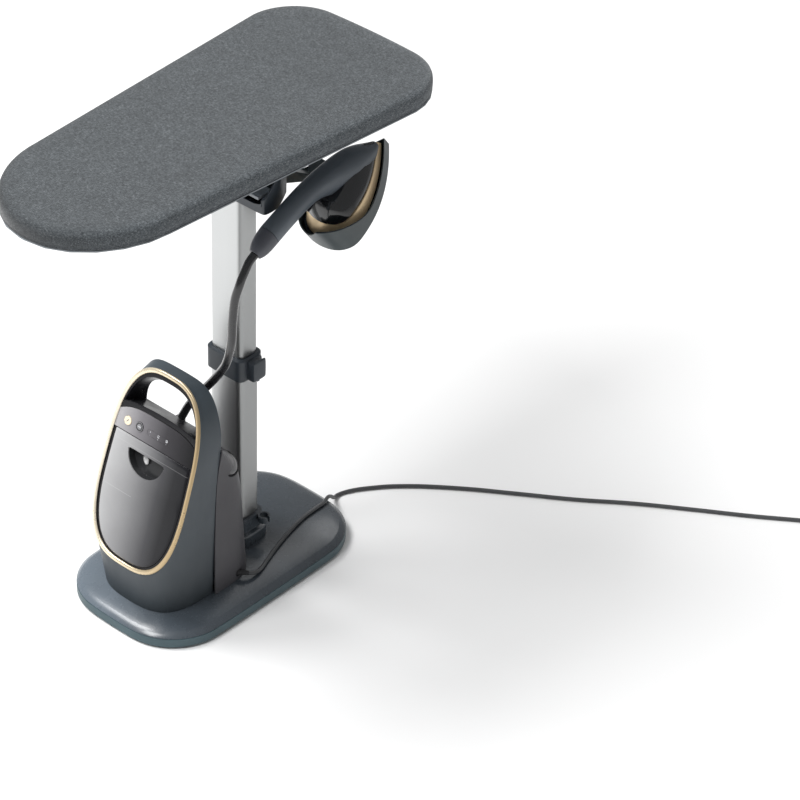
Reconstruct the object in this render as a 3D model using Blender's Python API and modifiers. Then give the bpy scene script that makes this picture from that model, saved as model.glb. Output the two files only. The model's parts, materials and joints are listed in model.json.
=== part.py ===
"""Home ironing system: base, steam console, height column, folding board, steam iron.

Metres, +Z up. The origin lies on the floor under the middle of the board.
-Y is the console's front and the board's nose, +X the side that carries the iron.
"""
import math

import bmesh
import bpy
from mathutils import Matrix, Vector

# ---- Shared clearances and resolutions
FIT = 0.0003            # gap between pieces that touch
RUN = 0.0004            # gap round pieces that slide or turn
OVERRUN = 0.004         # how far a cutter runs past what it cuts
ARC_STEPS = 6           # facets in a quarter corner
ROUND_SIDES = 24        # facets of a round piece
MERGE = 0.00005         # weld distance

# ---- Base
BASE_FRONT_Y = -0.2395
BASE_BACK_Y = 0.2605
BASE_FRONT_WIDTH = 0.3038
BASE_BACK_WIDTH = 0.2979
BASE_FRONT_RADIUS = 0.0989
BASE_BACK_RADIUS = 0.1002
BASE_BULGE = 0.010
FOOT_HEIGHT = 0.003
FOOT_RADIUS = 0.014
FOOT_INSET = 0.050
BAND_TOP = 0.0205       # top of the lower tray
TRAY_WALL = 0.003
TRAY_FLOOR = 0.003
COVER_WALL = 0.003
BEVEL_TOP = 0.030       # top of the cover's sloping rim
BEVEL_INSET = 0.010
DOME_TOP = 0.045
DOME_INSET = 0.115
DOME_RISE_SHARES = ((0.22, 0.36), (0.48, 0.68), (0.74, 0.90))
PLATE_INSET = 0.030
PLATE_THICK = 0.008

# ---- Column, collar and its lever
COLUMN_Y = 0.0648
INNER_WIDTH = 0.072
INNER_DEPTH = 0.044
INNER_RADIUS = 0.010
INNER_WALL = 0.002
INNER_BOTTOM = 0.300
INNER_TOP = 0.822
OUTER_WALL = 0.0016
OUTER_GAP = 0.0004
OUTER_TOP = 0.425
SOCKET_FLOOR = 0.0470
SOCKET_LOW_WIDTH = 0.106
SOCKET_LOW_DEPTH = 0.078
SOCKET_LOW_RADIUS = 0.022
SOCKET_LEDGE = 0.066
SOCKET_STEP = 0.004
SOCKET_UP_WIDTH = 0.090
SOCKET_UP_DEPTH = 0.062
SOCKET_UP_RADIUS = 0.016
SOCKET_TOP = 0.095
HOOK_OUTER = 0.011
HOOK_INNER = 0.0072
HOOK_HEIGHT = 0.012
HOOK_SLOT = 0.006
HOOK_SIDE = 0.014       # hook centre past the upper tier's side
HOOK_BACK = 0.016       # hook centre behind the column axis
COLLAR_WIDTH = 0.086
COLLAR_DEPTH = 0.058
COLLAR_RADIUS = 0.014
COLLAR_HEIGHT = 0.046
COLLAR_BOTTOM = 0.389
BUSH_HEIGHT = 0.0047
CLIP_REACH = 0.016
CLIP_LENGTH = 0.032
CLIP_HEIGHT = 0.040
CLIP_HOLE = 0.008
CLIP_BACK = 0.003       # clip centre behind the column axis
CLIP_ROUND = 0.005
EAR_THICK = 0.004
EAR_REACH = 0.018
EAR_HEIGHT = 0.020
LEVER_WIDTH = 0.026
LEVER_THICK = 0.005
LEVER_DROP = 0.056
LEVER_BARREL = 0.0065
LEVER_DOWN = 0.034      # pin below the collar's top
PIN_RADIUS = 0.0025
SHOE_HEIGHT = 0.010

# ---- Console: leaning front face
FACE_Y = -0.12975       # a point of the front plane, at the top of the water tank
FACE_Z = 0.331
FACE_LEAN = math.radians(20)
RING_CENTRE_V = -0.049
RING_SEMI_V = 0.175
RING_SEMI_X = 0.0985
RING_TAPER = 0.004
RING_POWER = 2.93
RING_WIDTH = 0.006
RING_PROUD = 0.0035
RING_STEPS = 64
SKIN = 0.003

# ---- Console: split between front and rear housings, and the foot
SPLIT_Y = -0.0729       # split plane at the height of the outline's centre
SPLIT_LEAN = math.radians(3.4)
REAR_CENTRE_Z = 0.252
REAR_SEMI_TOP = 0.1995
REAR_SEMI_BOTTOM = 0.242
REAR_SEMI_X = 0.0895
REAR_FLARE = 0.0070
SHOULDER_BULGE = 0.0085  # the sides swell by this between the outline's centre and its top
SHOULDER_LOW_SHARE = 0.04
REAR_TOP_POWER = 4.1
REAR_BOTTOM_POWER = 12
TOE_SEMI_X = 0.103
TOE_REACH = 0.1225       # toe in front of the split plane
TOE_POWER = 2.7

# ---- Console: hand opening
OPENING_SEMI_DROP = 0.0125
OPENING_SIDE = 0.005
OPENING_BACK_SEMI_X = 0.0790
OPENING_BACK_CENTRE_Z = 0.330
OPENING_BACK_SEMI_Z = 0.082
OPENING_BACK_POWER = 3.5
OPENING_BACK_SILL = 0.3555
SILL_MID_V = 0.0555
SILL_SIDE_DROP = 0.0085
LINER_WALL = 0.0025
LINER_CORNER_V = 0.030
FLANGE_FOOT_Z = 0.3375
LINER_ARC_STEPS = 28
LINER_SILL_STEPS = 12

# ---- Console: panel, buttons, lights
PANEL_THICK = 0.003
PANEL_TOP_V = 0.045
PANEL_TOP_DROP = 0.0169
PANEL_HALF = 0.0925
PANEL_BOTTOM_V = -0.0036
PANEL_CORNER_V = 0.0285
POWER_X = -0.0657
POWER_V = 0.0163
POWER_RADIUS = 0.008
MODE_X = -0.0382
MODE_V = 0.0168
MODE_RADIUS = 0.0085
BUTTON_PROUD = 0.0012
BUTTON_DEPTH = 0.0085
LIGHT_X = 0.0065
LIGHT_V = 0.0165
LIGHT_WIDTH = 0.052
LIGHT_HEIGHT = 0.011
POST_LEFT_X = -0.0522
POST_RIGHT_X = 0.065
POST_WIDTH = 0.004
POST_HEIGHT = 0.026
POST_DEPTH = 0.0112
BOARD_PCB_THICK = 0.0016
BOARD_PCB_WIDTH = 0.150
BOARD_PCB_HEIGHT = 0.030

# ---- Console: water tank and its bay
TANK_SIDE = 0.010       # tank side inside the ring's centre line
TANK_END = 0.007        # tank end inside the ring's centre line
TANK_TOP_V = -0.0056
TANK_DEPTH = 0.038
TANK_PROUD = 0.0012
TANK_EDGE = 0.003
TANK_WALL = 0.0025
TANK_ARC_STEPS = 36
TANK_TOP_STEPS = 8
GRIP_TOP_V = -0.025
GRIP_X = -0.0075
GRIP_HALF = 0.0425
GRIP_DROP = 0.040
GRIP_DEPTH = 0.016
BAY_GAP = 0.0006
BAY_WALL = 0.0018
BAY_BACK = 0.002
BAY_DEPTH = 0.0423
BAY_LIP = 0.001
CAP_X = 0.052
CAP_N = -0.027
CAP_RADIUS = 0.0075
VALVE_V = -0.175
VALVE_RADIUS = 0.008

# ---- Console: rear housing and what is inside
BACK_WALL = 0.0025
BACK_POWER = 4.4
BACK_TOP_Z = 0.335
BACK_REACH = 0.1075     # rear face behind the split plane, at the foot
BACK_HEIGHT_SHARES = (0.0, 0.15, 0.40, 0.53, 0.68, 0.775, 0.862, 0.931, 0.975, 1.0)
BACK_REACH_SHARES = (1.000, 0.963, 0.883, 0.834, 0.762, 0.670, 0.491, 0.298, 0.115, 0.000)
BACK_STEPS = 22
BOILER_RADIUS = 0.034
BOILER_TOP = 0.190
BOILER_X = -0.035
BOILER_FORWARD = 0.030  # boiler axis behind the split plane
PUMP_X = 0.045
PUMP_WIDTH = 0.036
PUMP_DEPTH = 0.046
PUMP_TOP = 0.105
DESCALE_X = 0.0765
DESCALE_Y = -0.0290
DESCALE_Z = 0.2780
DESCALE_TILT = math.radians(50)     # cap axis away from vertical
DESCALE_TURN = math.radians(22)     # cap axis away from +X
DESCALE_RADIUS = 0.0205
DESCALE_PLUG = 0.016
DESCALE_CROWN = 0.009
GLAND_X = -0.039
GLAND_Y = -0.027
GLAND_TOP = 0.312
GLAND_LENGTH = 0.036
GLAND_TILT = math.radians(28)   # gland's axis away from vertical, towards +X
GLAND_RADIUS = 0.0095

# ---- Head on top of the column
HINGE_RISE = 0.016      # hinge above the inner tube's top
HINGE_Z = INNER_TOP + HINGE_RISE
HINGE_PIN_RADIUS = 0.005
HEAD_HALF = 0.1035
HEAD_FRONT_Y = 0.030
HEAD_SHOULDER_Y = 0.066
HEAD_BACK_Y = 0.110
HEAD_BACK_HALF = 0.082
HEAD_DROP = 0.065       # tray's underside below the inner tube's top
HEAD_BOTTOM = INNER_TOP - HEAD_DROP
HEAD_HEIGHT = 0.093
HEAD_TOP = HEAD_BOTTOM + HEAD_HEIGHT
HEAD_WALL = 0.003
HEAD_EDGE = 0.004
HEAD_LIP = 0.018
HEAD_SIDE_LIP = 0.030
HEAD_SLOPE_Y = 0.088    # where the side walls reach their full height
BLOCK_LIFT = 0.009
BLOCK_BOTTOM = HEAD_BOTTOM + BLOCK_LIFT
BLOCK_RISE = 0.004
BLOCK_TOP = INNER_TOP + BLOCK_RISE
BLOCK_WALL = 0.0045
CHEEK_OUTER = 0.0540
CHEEK_THICK = 0.008
CHEEK_DEPTH = 0.030
PADDLE_HALF = 0.090
PADDLE_FRONT_Y = 0.0295
PADDLE_NECK_Y = 0.0360
PADDLE_PIN_Y = 0.060
PADDLE_ARM_INNER = 0.064
PADDLE_LIFT = 0.032
PADDLE_Z = HEAD_BOTTOM + PADDLE_LIFT
PADDLE_THICK = 0.005
PADDLE_PIN = 0.0035

# ---- Board
BOARD_FRONT_Y = -0.404
BOARD_BACK_Y = 0.404
BOARD_FRONT_WIDTH = 0.3101
BOARD_BACK_WIDTH = 0.3772
BOARD_FRONT_RADIUS = 0.150
BOARD_BACK_RADIUS = 0.0946
BOARD_FRONT_BULGE = 0.0209
BOARD_BACK_BULGE = 0.0098
BOARD_RISE = 0.038      # board's underside above its hinge
BOARD_BOTTOM = HINGE_Z + BOARD_RISE
BOARD_FRAME_THICK = 0.0025
BOARD_THICK = 0.036
BOARD_TOP = BOARD_BOTTOM + BOARD_THICK
BOARD_EDGE = 0.010
COVER_CLOTH = 0.0015
COVER_TUCK = 0.0015
MESH_THICK = 0.0012
SPINE_HALF = 0.020
SPINE_DEPTH = 0.012
SPINE_FRONT_Y = -0.330
SPINE_BACK_Y = 0.340
BRACKET_EAR_THICK = 0.004
BRACKET_EAR_DEPTH = 0.034
BRACKET_EAR_DROP = 0.014
BRACKET_FLANGE_THICK = 0.004
BRACKET_FLANGE_WIDTH = 0.030
BRACKET_FRONT_Y = -0.020
BRACKET_BACK_Y = 0.150

# ---- Iron, in its own frame: x across, y heel to tip, z out of the sole
IRON_X = 0.125
IRON_Y = 0.131
IRON_DROP = 0.134       # iron's frame below the inner tube's top
IRON_Z = INNER_TOP - IRON_DROP
IRON_PITCH = math.radians(36.7)
IRON_LENGTH = 0.188
IRON_WIDTH = 0.105
IRON_HEEL_SHARE = 0.22
IRON_TAPER_START_SHARE = 0.30
IRON_TAPER_POWER = 1.9
SOLE_BOTTOM = -0.0220
SOLE_TOP = -0.0160
BAND_TIP_HALF = 0.006
BAND_HEEL_HALF = 0.0135
BAND_LEAN = 0.005       # the gold band's top edge lies this far inside its lower edge
BAND_HEEL_LEAN_SHARE = 0.07
BODY_LEVEL_SHARES = (0.0851, 0.1596, 0.2181, 0.2500)
BODY_WIDTH_SHARES = (0.89, 0.81, 0.67, 0.50)
BODY_TIP_SHARES = (0.955, 0.89, 0.78, 0.68)
BODY_HEEL_SHARES = (0.095, 0.13, 0.18, 0.24)
HANDLE_HALF_X = 0.0175
HANDLE_STATION_SHARES = (  # place along, height and half height by the iron's length; width share
    (-0.3085, 0.5780, 0.1080, 1.00), (-0.1596, 0.5500, 0.1060, 1.00),
    (0.0106, 0.5140, 0.1060, 1.00), (0.1702, 0.4760, 0.1100, 1.02),
    (0.2872, 0.4370, 0.1290, 1.10), (0.4043, 0.3750, 0.1780, 1.22),
    (0.5213, 0.2872, 0.1968, 1.38), (0.6383, 0.1968, 0.1755, 1.46),
    (0.7660, 0.1064, 0.1330, 1.32), (0.8723, 0.0484, 0.0740, 0.94),
    (0.9468, 0.0186, 0.0452, 0.45))
HANDLE_SIDES = 20
BOOT_STATION_SHARES = (
    (-0.5239, 0.5920, 0.0585, 0.60), (-0.4787, 0.5878, 0.0870, 0.82),
    (-0.4043, 0.5860, 0.1040, 0.96))
TRIGGER_PLACE_SHARE = 0.234
TRIGGER_Y = IRON_LENGTH * TRIGGER_PLACE_SHARE
TRIGGER_RISE_SHARE = 0.3541
TRIGGER_Z = IRON_LENGTH * TRIGGER_RISE_SHARE
TRIGGER_LENGTH = 0.030
TRIGGER_WIDTH = 0.014
TRIGGER_HEIGHT = 0.012
TRIGGER_SWEEP = 0.004

# ---- Cradle that holds the iron
CRADLE_MARGIN = 0.0095
CRADLE_WALL = 0.0025
CRADLE_FLOOR = 0.003
CRADLE_PAD = 0.0035
CRADLE_RIM = -0.005
CRADLE_WING = 0.044
CRADLE_WING_LENGTH_SHARE = 0.42
PAD_HALF = 0.028
PAD_START_SHARE = 0.18
PAD_END_SHARE = 0.68
LUG_START_SHARE = 0.48
LUG_END_SHARE = 0.64
LUG_REACH = 0.075
LUG_LOW = -0.0285
LUG_HIGH = -0.0100
ARM_INNER = 0.026

# ---- Mains cord, plug and steam hose
CORD_RADIUS = 0.0035
HOSE_RADIUS = 0.0075
CORD_SPACING = 0.021
HOSE_SPACING = 0.020
CORD_GLAND_RADIUS = 0.0065
CORD_GLAND_OUT = 0.017
CORD_GLAND_IN = 0.010
CORD_GLAND_LIP = 0.0008     # wall of the strain relief at its tip
CORD_START = (0.1000, -0.0218, 0.0505)
CORD_DIRECTION = (0.7071, 0.7071, 0.0)
CORD_ROUTE = (
    (0.1076, -0.0128, 0.0488), (0.1106, -0.0056, 0.0466), (0.1116, 0.0022, 0.0444),
    (0.1108, 0.0110, 0.0428), (0.1016, 0.0400, 0.0427), (0.0930, 0.0650, 0.0440),
    (0.0788, 0.1143, 0.0456), (0.0680, 0.1620, 0.0465), (0.0610, 0.2060, 0.0424),
    (0.0560, 0.2330, 0.0378), (0.0480, 0.2520, 0.0350), (0.0400, 0.2700, 0.0225),
    (0.0330, 0.2850, 0.0085), (0.0290, 0.3010, 0.0040), (0.0370, 0.3240, 0.0040),
    (0.0560, 0.3540, 0.0040), (0.0900, 0.3950, 0.0040), (0.1700, 0.4640, 0.0040),
    (0.2560, 0.5250, 0.0040), (0.3430, 0.5850, 0.0040), (0.4260, 0.6490, 0.0040),
    (0.5120, 0.7080, 0.0040), (0.5990, 0.7660, 0.0040), (0.6670, 0.8150, 0.0040))
COIL_START = (0.7162, 0.8507, 0.0040)
COIL_HEADING = math.radians(36.0)
COIL_OUTER = 0.0465
COIL_INNER = 0.0345
COIL_WIND_TURNS = 1.25
COIL_CLIMB_TURNS = 0.5
COIL_LAYER = 0.0080
COIL_LOOP_POINTS = 24
COIL_TAIL = 0.070
PLUG_LENGTH = 0.036
PLUG_WIDTH = 0.028
PLUG_HEIGHT = 0.024
PLUG_PIN_RADIUS = 0.002
PLUG_PIN_LENGTH = 0.019
PLUG_PIN_SPACING = 0.0186
HOSE_END_STRAIGHT = 0.015
HOSE_ROUTE = (
    (0.1250, -0.0363, 0.6981), (0.1247, -0.0443, 0.6858), (0.1238, -0.0500, 0.6720),
    (0.1190, -0.0545, 0.6470), (0.1130, -0.0540, 0.6050), (0.1070, -0.0500, 0.5610),
    (0.1000, -0.0465, 0.5360), (0.0885, -0.0410, 0.5060), (0.0740, -0.0360, 0.4790),
    (0.0530, -0.0330, 0.4480), (0.0300, -0.0310, 0.4170), (0.0020, -0.0295, 0.3800),
    (-0.0170, -0.0285, 0.3525))

COLLECTION = "ironing_system"


# ---- Scene and collection helpers

def clear_scene():
    for item in list(bpy.data.objects):
        bpy.data.objects.remove(item, do_unlink=True)


def collection(name):
    found = bpy.data.collections.get(name) or bpy.data.collections.new(name)
    if name not in bpy.context.scene.collection.children:
        bpy.context.scene.collection.children.link(found)
    return found


def look(name, color, roughness, metallic=0.0):
    found = bpy.data.materials.get(name)
    if found:
        return found
    found = bpy.data.materials.new(name)
    found.use_nodes = True
    shader = found.node_tree.nodes["Principled BSDF"]
    shader.inputs["Base Color"].default_value = (*color, 1.0)
    shader.inputs["Roughness"].default_value = roughness
    shader.inputs["Metallic"].default_value = metallic
    found.diffuse_color = (*color, 1.0)
    return found


def housing_blue():
    return look("housing_blue", (0.060, 0.080, 0.095), 0.5)


def housing_grey():
    return look("housing_grey", (0.058, 0.052, 0.058), 0.5)


def base_blue():
    return look("base_blue", (0.095, 0.115, 0.140), 0.35)


def tray_teal():
    return look("tray_teal", (0.040, 0.070, 0.080), 0.45)


def black_plastic():
    return look("black_plastic", (0.012, 0.012, 0.014), 0.4)


def black_gloss():
    return look("black_gloss", (0.008, 0.008, 0.010), 0.12)


def gold_metal():
    return look("gold_metal", (0.620, 0.470, 0.290), 0.25, 1.0)


def satin_aluminium():
    return look("satin_aluminium", (0.620, 0.640, 0.650), 0.35, 1.0)


def steel():
    return look("steel", (0.500, 0.500, 0.520), 0.35, 1.0)


def smoky_tank():
    return look("smoky_tank", (0.080, 0.085, 0.090), 0.1)


def rubber():
    return look("rubber", (0.020, 0.020, 0.022), 0.8)


def handle_blue():
    return look("handle_blue", (0.075, 0.090, 0.110), 0.5)


def cradle_green():
    return look("cradle_green", (0.045, 0.062, 0.066), 0.5)


def board_fabric():
    return look("board_fabric", (0.120, 0.135, 0.155), 0.9)


def foam_grey():
    return look("foam_grey", (0.450, 0.450, 0.440), 0.9)


def frame_grey():
    return look("frame_grey", (0.250, 0.270, 0.290), 0.5)


def pcb_green():
    return look("pcb_green", (0.020, 0.120, 0.060), 0.5)


def cord_grey():
    return look("cord_grey", (0.060, 0.062, 0.066), 0.5)


# ---- Mesh helpers

def add_object(name, mesh_data, surface, group=COLLECTION):
    item = bpy.data.objects.new(name, mesh_data)
    collection(group).objects.link(item)
    if surface is not None:
        mesh_data.materials.clear()
        mesh_data.materials.append(surface)
    return item


def finish_mesh(name, bm, surface, smooth=35.0):
    bmesh.ops.remove_doubles(bm, verts=bm.verts, dist=MERGE)
    bmesh.ops.recalc_face_normals(bm, faces=bm.faces)
    data = bpy.data.meshes.new(name)
    bm.to_mesh(data)
    bm.free()
    if surface is None:
        return cutter_object(name, data)
    item = add_object(name, data, surface)
    data.shade_smooth()
    data.set_sharp_from_angle(angle=math.radians(smooth))
    return item


def cutter_object(name, data):
    item = add_object(name, data, None, "cutters")
    item.hide_render = True
    item.display_type = "WIRE"
    return item


def loft(name, rings, surface, closed=False, smooth=35.0):
    """Skin through rings of equal count: capped at both ends, or closed end to end."""
    bm = bmesh.new()
    rows = [[bm.verts.new(point) for point in ring] for ring in rings]
    count = len(rings[0])
    pairs = list(zip(rows, rows[1:]))
    if closed:
        pairs.append((rows[-1], rows[0]))
    for low, high in pairs:
        for k in range(count):
            after = (k + 1) % count
            bm.faces.new((low[k], low[after], high[after], high[k]))
    if not closed:
        bm.faces.new(list(reversed(rows[0])))
        bm.faces.new(rows[-1])
    return finish_mesh(name, bm, surface, smooth)


def sheet_grid(name, rows, surface, wrap, smooth=35.0):
    """Open surface through rows of points, for a Solidify shell."""
    bm = bmesh.new()
    verts = [[bm.verts.new(point) for point in row] for row in rows]
    count = len(rows[0])
    last = count if wrap else count - 1
    for low, high in zip(verts, verts[1:]):
        for k in range(last):
            after = (k + 1) % count
            bm.faces.new((low[k], low[after], high[after], high[k]))
    return finish_mesh(name, bm, surface, smooth)


def prism(name, outline, low, high, surface, smooth=35.0):
    """Flat outline in X and Y, filled between two heights."""
    rings = [[(x, y, level) for x, y in outline] for level in (low, high)]
    return loft(name, rings, surface, smooth=smooth)


def side_prism(name, outline, low, high, surface):
    """Flat outline in Y and Z, filled between two X values."""
    rings = [[(level, y, z) for y, z in outline] for level in (low, high)]
    return loft(name, rings, surface)


def box(name, corner_low, corner_high, surface):
    bm = bmesh.new()
    bmesh.ops.create_cube(bm, size=1.0)
    for vert in bm.verts:
        for axis in range(3):
            share = vert.co[axis] + 0.5
            vert.co[axis] = corner_low[axis] * (1 - share) + corner_high[axis] * share
    return finish_mesh(name, bm, surface)


def cylinder(name, radius, start, end, surface, sides=ROUND_SIDES, radius_end=None):
    """Round bar from one point to another."""
    start, end = Vector(start), Vector(end)
    span = end - start
    bm = bmesh.new()
    bmesh.ops.create_cone(bm, cap_ends=True, segments=sides, radius1=radius,
                          radius2=radius if radius_end is None else radius_end,
                          depth=span.length)
    turn = span.to_track_quat("Z", "Y").to_matrix().to_4x4()
    bmesh.ops.transform(bm, matrix=Matrix.Translation((start + end) / 2) @ turn, verts=bm.verts)
    return finish_mesh(name, bm, surface)


def solidify(item, thickness):
    shell = item.modifiers.new("wall", "SOLIDIFY")
    shell.thickness = thickness
    shell.offset = -1
    return item


def bevel(item, width, segments=2):
    edge = item.modifiers.new("edge", "BEVEL")
    edge.width = width
    edge.segments = segments
    edge.limit_method = "ANGLE"
    edge.angle_limit = math.radians(40)
    return item


def boolean(item, other, operation):
    step = item.modifiers.new(operation.lower() + "_" + other.name, "BOOLEAN")
    step.operation = operation
    step.object = other
    step.solver = "EXACT"
    return item


def cut(item, cutter):
    return boolean(item, cutter, "DIFFERENCE")


def join(item, extra):
    return boolean(item, extra, "UNION")


def place(item, frame):
    item.matrix_world = frame @ item.matrix_world
    return item


def pivot(name, location, items):
    """Empty on a joint's axis, parent of the pieces that move with it."""
    empty = bpy.data.objects.new(name, None)
    collection(COLLECTION).objects.link(empty)
    empty.location = location
    bpy.context.view_layer.update()
    for item in items:
        keep = item.matrix_world.copy()
        item.parent = empty
        item.matrix_parent_inverse = empty.matrix_world.inverted()
        item.matrix_world = keep
    return empty


# ---- Outlines

def signed_power(value, power):
    return math.copysign(abs(value) ** power, value)


def rounded_rect(width, depth, radius, centre_y=0.0, centre_x=0.0):
    points = []
    reach_x = width / 2 - radius
    reach_y = depth / 2 - radius
    for quarter, (side_x, side_y) in enumerate(((1, 1), (-1, 1), (-1, -1), (1, -1))):
        for k in range(ARC_STEPS + 1):
            angle = math.pi / 2 * (quarter + k / ARC_STEPS)
            points.append((centre_x + side_x * reach_x + radius * math.cos(angle),
                           centre_y + side_y * reach_y + radius * math.sin(angle)))
    return points


def long_outline(front, back, inset=0.0):
    """Two unlike rounded ends, each slightly bowed; an end is (y, width, radius, bulge)."""
    points = []
    for (edge_y, width, radius, bulge), side in ((front, -1), (back, 1)):
        half = width / 2 - inset
        corner = max(radius - inset, half * 0.1)
        reach = half - corner
        line = edge_y - side * (bulge + inset)
        first = math.pi if side < 0 else 0.0
        arcs = ((side, first), (-side, first + math.pi / 2))
        for turn, (side_x, start) in enumerate(arcs):
            for k in range(ARC_STEPS + 1):
                angle = start + math.pi / 2 * k / ARC_STEPS
                points.append([side_x * reach + corner * math.cos(angle),
                               line - side * corner + corner * math.sin(angle)])
            if turn == 0:
                for k in (1, 2, 3):
                    points.append([side_x * reach * (1 - k / 2), line])
        for point in points[-(2 * ARC_STEPS + 5):]:
            point[1] += side * bulge * (1 - (point[0] / half) ** 2)
    return [tuple(point) for point in points]


def base_outline(inset=0.0):
    return long_outline((BASE_FRONT_Y, BASE_FRONT_WIDTH, BASE_FRONT_RADIUS, BASE_BULGE),
                        (BASE_BACK_Y, BASE_BACK_WIDTH, BASE_BACK_RADIUS, BASE_BULGE), inset)


def board_outline(inset=0.0):
    return long_outline((BOARD_FRONT_Y, BOARD_FRONT_WIDTH, BOARD_FRONT_RADIUS, BOARD_FRONT_BULGE),
                        (BOARD_BACK_Y, BOARD_BACK_WIDTH, BOARD_BACK_RADIUS, BOARD_BACK_BULGE), inset)


def face_point(angle, inset_x=0.0, inset_v=0.0):
    """Point of the ring's centre line on the front face, in face coordinates."""
    share = signed_power(math.sin(angle), 2 / RING_POWER)
    x = (RING_SEMI_X - inset_x - RING_TAPER * share) * signed_power(math.cos(angle), 2 / RING_POWER)
    return x, RING_CENTRE_V + (RING_SEMI_V - inset_v) * share


def face_angle(v, inset_v=0.0):
    """Angle at which the face outline reaches a height above its centre."""
    return math.asin(signed_power((v - RING_CENTRE_V) / (RING_SEMI_V - inset_v), RING_POWER / 2))


def face_frame():
    return Matrix.Translation((0, FACE_Y, FACE_Z)) @ Matrix.Rotation(math.pi / 2 - FACE_LEAN, 4, "X")


def face_world(x, v, n=0.0):
    return face_frame() @ Vector((x, v, n))


def rear_half(share):
    """Half width at the split plane, by the share of the way from the outline's centre to its top or foot."""
    rise = min(max((share - SHOULDER_LOW_SHARE) / (1 - SHOULDER_LOW_SHARE), 0.0), 1.0)
    return REAR_SEMI_X + REAR_FLARE * share ** 2 + SHOULDER_BULGE * math.sin(math.pi * rise) ** 2


def back_point(angle, inset=0.0):
    """Outline of the front housing at the split plane, in X and Z."""
    sine = math.sin(angle)
    semi = REAR_SEMI_TOP if sine >= 0 else REAR_SEMI_BOTTOM
    power = REAR_TOP_POWER if sine >= 0 else REAR_BOTTOM_POWER
    share = signed_power(sine, 2 / power)
    half = rear_half(share) - inset
    return half * signed_power(math.cos(angle), 2 / power), REAR_CENTRE_Z + (semi - inset) * share


def split_point(x, z, back=0.0):
    """Point of the leaning split plane, or so far behind it."""
    return Vector((x, SPLIT_Y + (z - REAR_CENTRE_Z) * math.tan(SPLIT_LEAN) + back, z))


def blend(first, second, share):
    return Vector(first) * (1 - share) + Vector(second) * share


# ---- Base

def dome_rings(lift, drop=0.0):
    rings = [[(x, y, BAND_TOP + FIT - drop) for x, y in base_outline()]]
    rings.append([(x, y, BEVEL_TOP + lift) for x, y in base_outline(BEVEL_INSET)])
    for inset_share, rise_share in DOME_RISE_SHARES:
        inset = BEVEL_INSET + (DOME_INSET - BEVEL_INSET) * inset_share
        level = BEVEL_TOP + (DOME_TOP - BEVEL_TOP) * rise_share + lift
        rings.append([(x, y, level) for x, y in base_outline(inset)])
    rings.append([(x, y, DOME_TOP + lift) for x, y in base_outline(DOME_INSET)])
    return rings


def dome_cutter():
    rings = dome_rings(FIT, BAND_TOP)
    return loft("dome_cutter", rings, None)


def build_base():
    tray = loft("base_tray", [
        [(x, y, FOOT_HEIGHT + FIT) for x, y in base_outline(TRAY_WALL)],
        [(x, y, FOOT_HEIGHT + FIT + TRAY_WALL / 2) for x, y in base_outline()],
        [(x, y, BAND_TOP) for x, y in base_outline()],
        [(x, y, BAND_TOP) for x, y in base_outline(TRAY_WALL)],
        [(x, y, FOOT_HEIGHT + FIT + TRAY_FLOOR) for x, y in base_outline(TRAY_WALL)]], tray_teal())
    outer = dome_rings(0.0)
    inner = [[(x, y, z - COVER_WALL) for x, y, z in ring] for ring in dome_rings(0.0)[1:]]
    inner[0] = [(x, y, BEVEL_TOP - COVER_WALL) for x, y in base_outline(BEVEL_INSET + COVER_WALL)]
    rim = [(x, y, BAND_TOP + FIT) for x, y in base_outline(COVER_WALL)]
    loft("base_cover", list(reversed(inner)) + [rim] + outer, base_blue())
    floor = FOOT_HEIGHT + FIT + TRAY_FLOOR + FIT
    plate = [(x, y) for x, y in base_outline(PLATE_INSET)]
    prism("ballast_plate", plate, floor, floor + PLATE_THICK, steel())
    number = 0
    for edge_y, width, side_y in ((BASE_FRONT_Y, BASE_FRONT_WIDTH, 1), (BASE_BACK_Y, BASE_BACK_WIDTH, -1)):
        for side_x in (-1, 1):
            number += 1
            centre = (side_x * (width / 2 - FOOT_INSET), edge_y + side_y * FOOT_INSET)
            cylinder("foot_" + str(number), FOOT_RADIUS, (*centre, 0), (*centre, FOOT_HEIGHT), rubber())
    return tray


# ---- Column

def outer_size():
    """Width, depth and corner radius of the outer tube, from the inner tube in it."""
    grow = OUTER_GAP + OUTER_WALL
    return INNER_WIDTH + 2 * grow, INNER_DEPTH + 2 * grow, INNER_RADIUS + grow


def column_rect(width, depth, radius):
    return rounded_rect(width, depth, radius, COLUMN_Y)


def ring_of(outline, level):
    return [(x, y, level) for x, y in outline]


def grown(size, step):
    width, depth, radius = size
    return column_rect(width + 2 * step, depth + 2 * step, radius + step)


def tube(name, size, wall, low, high, surface):
    outer, inner = grown(size, 0), grown(size, -wall)
    return loft(name, [ring_of(outer, low), ring_of(outer, high), ring_of(inner, high),
                       ring_of(inner, low)], surface, closed=True)


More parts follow.
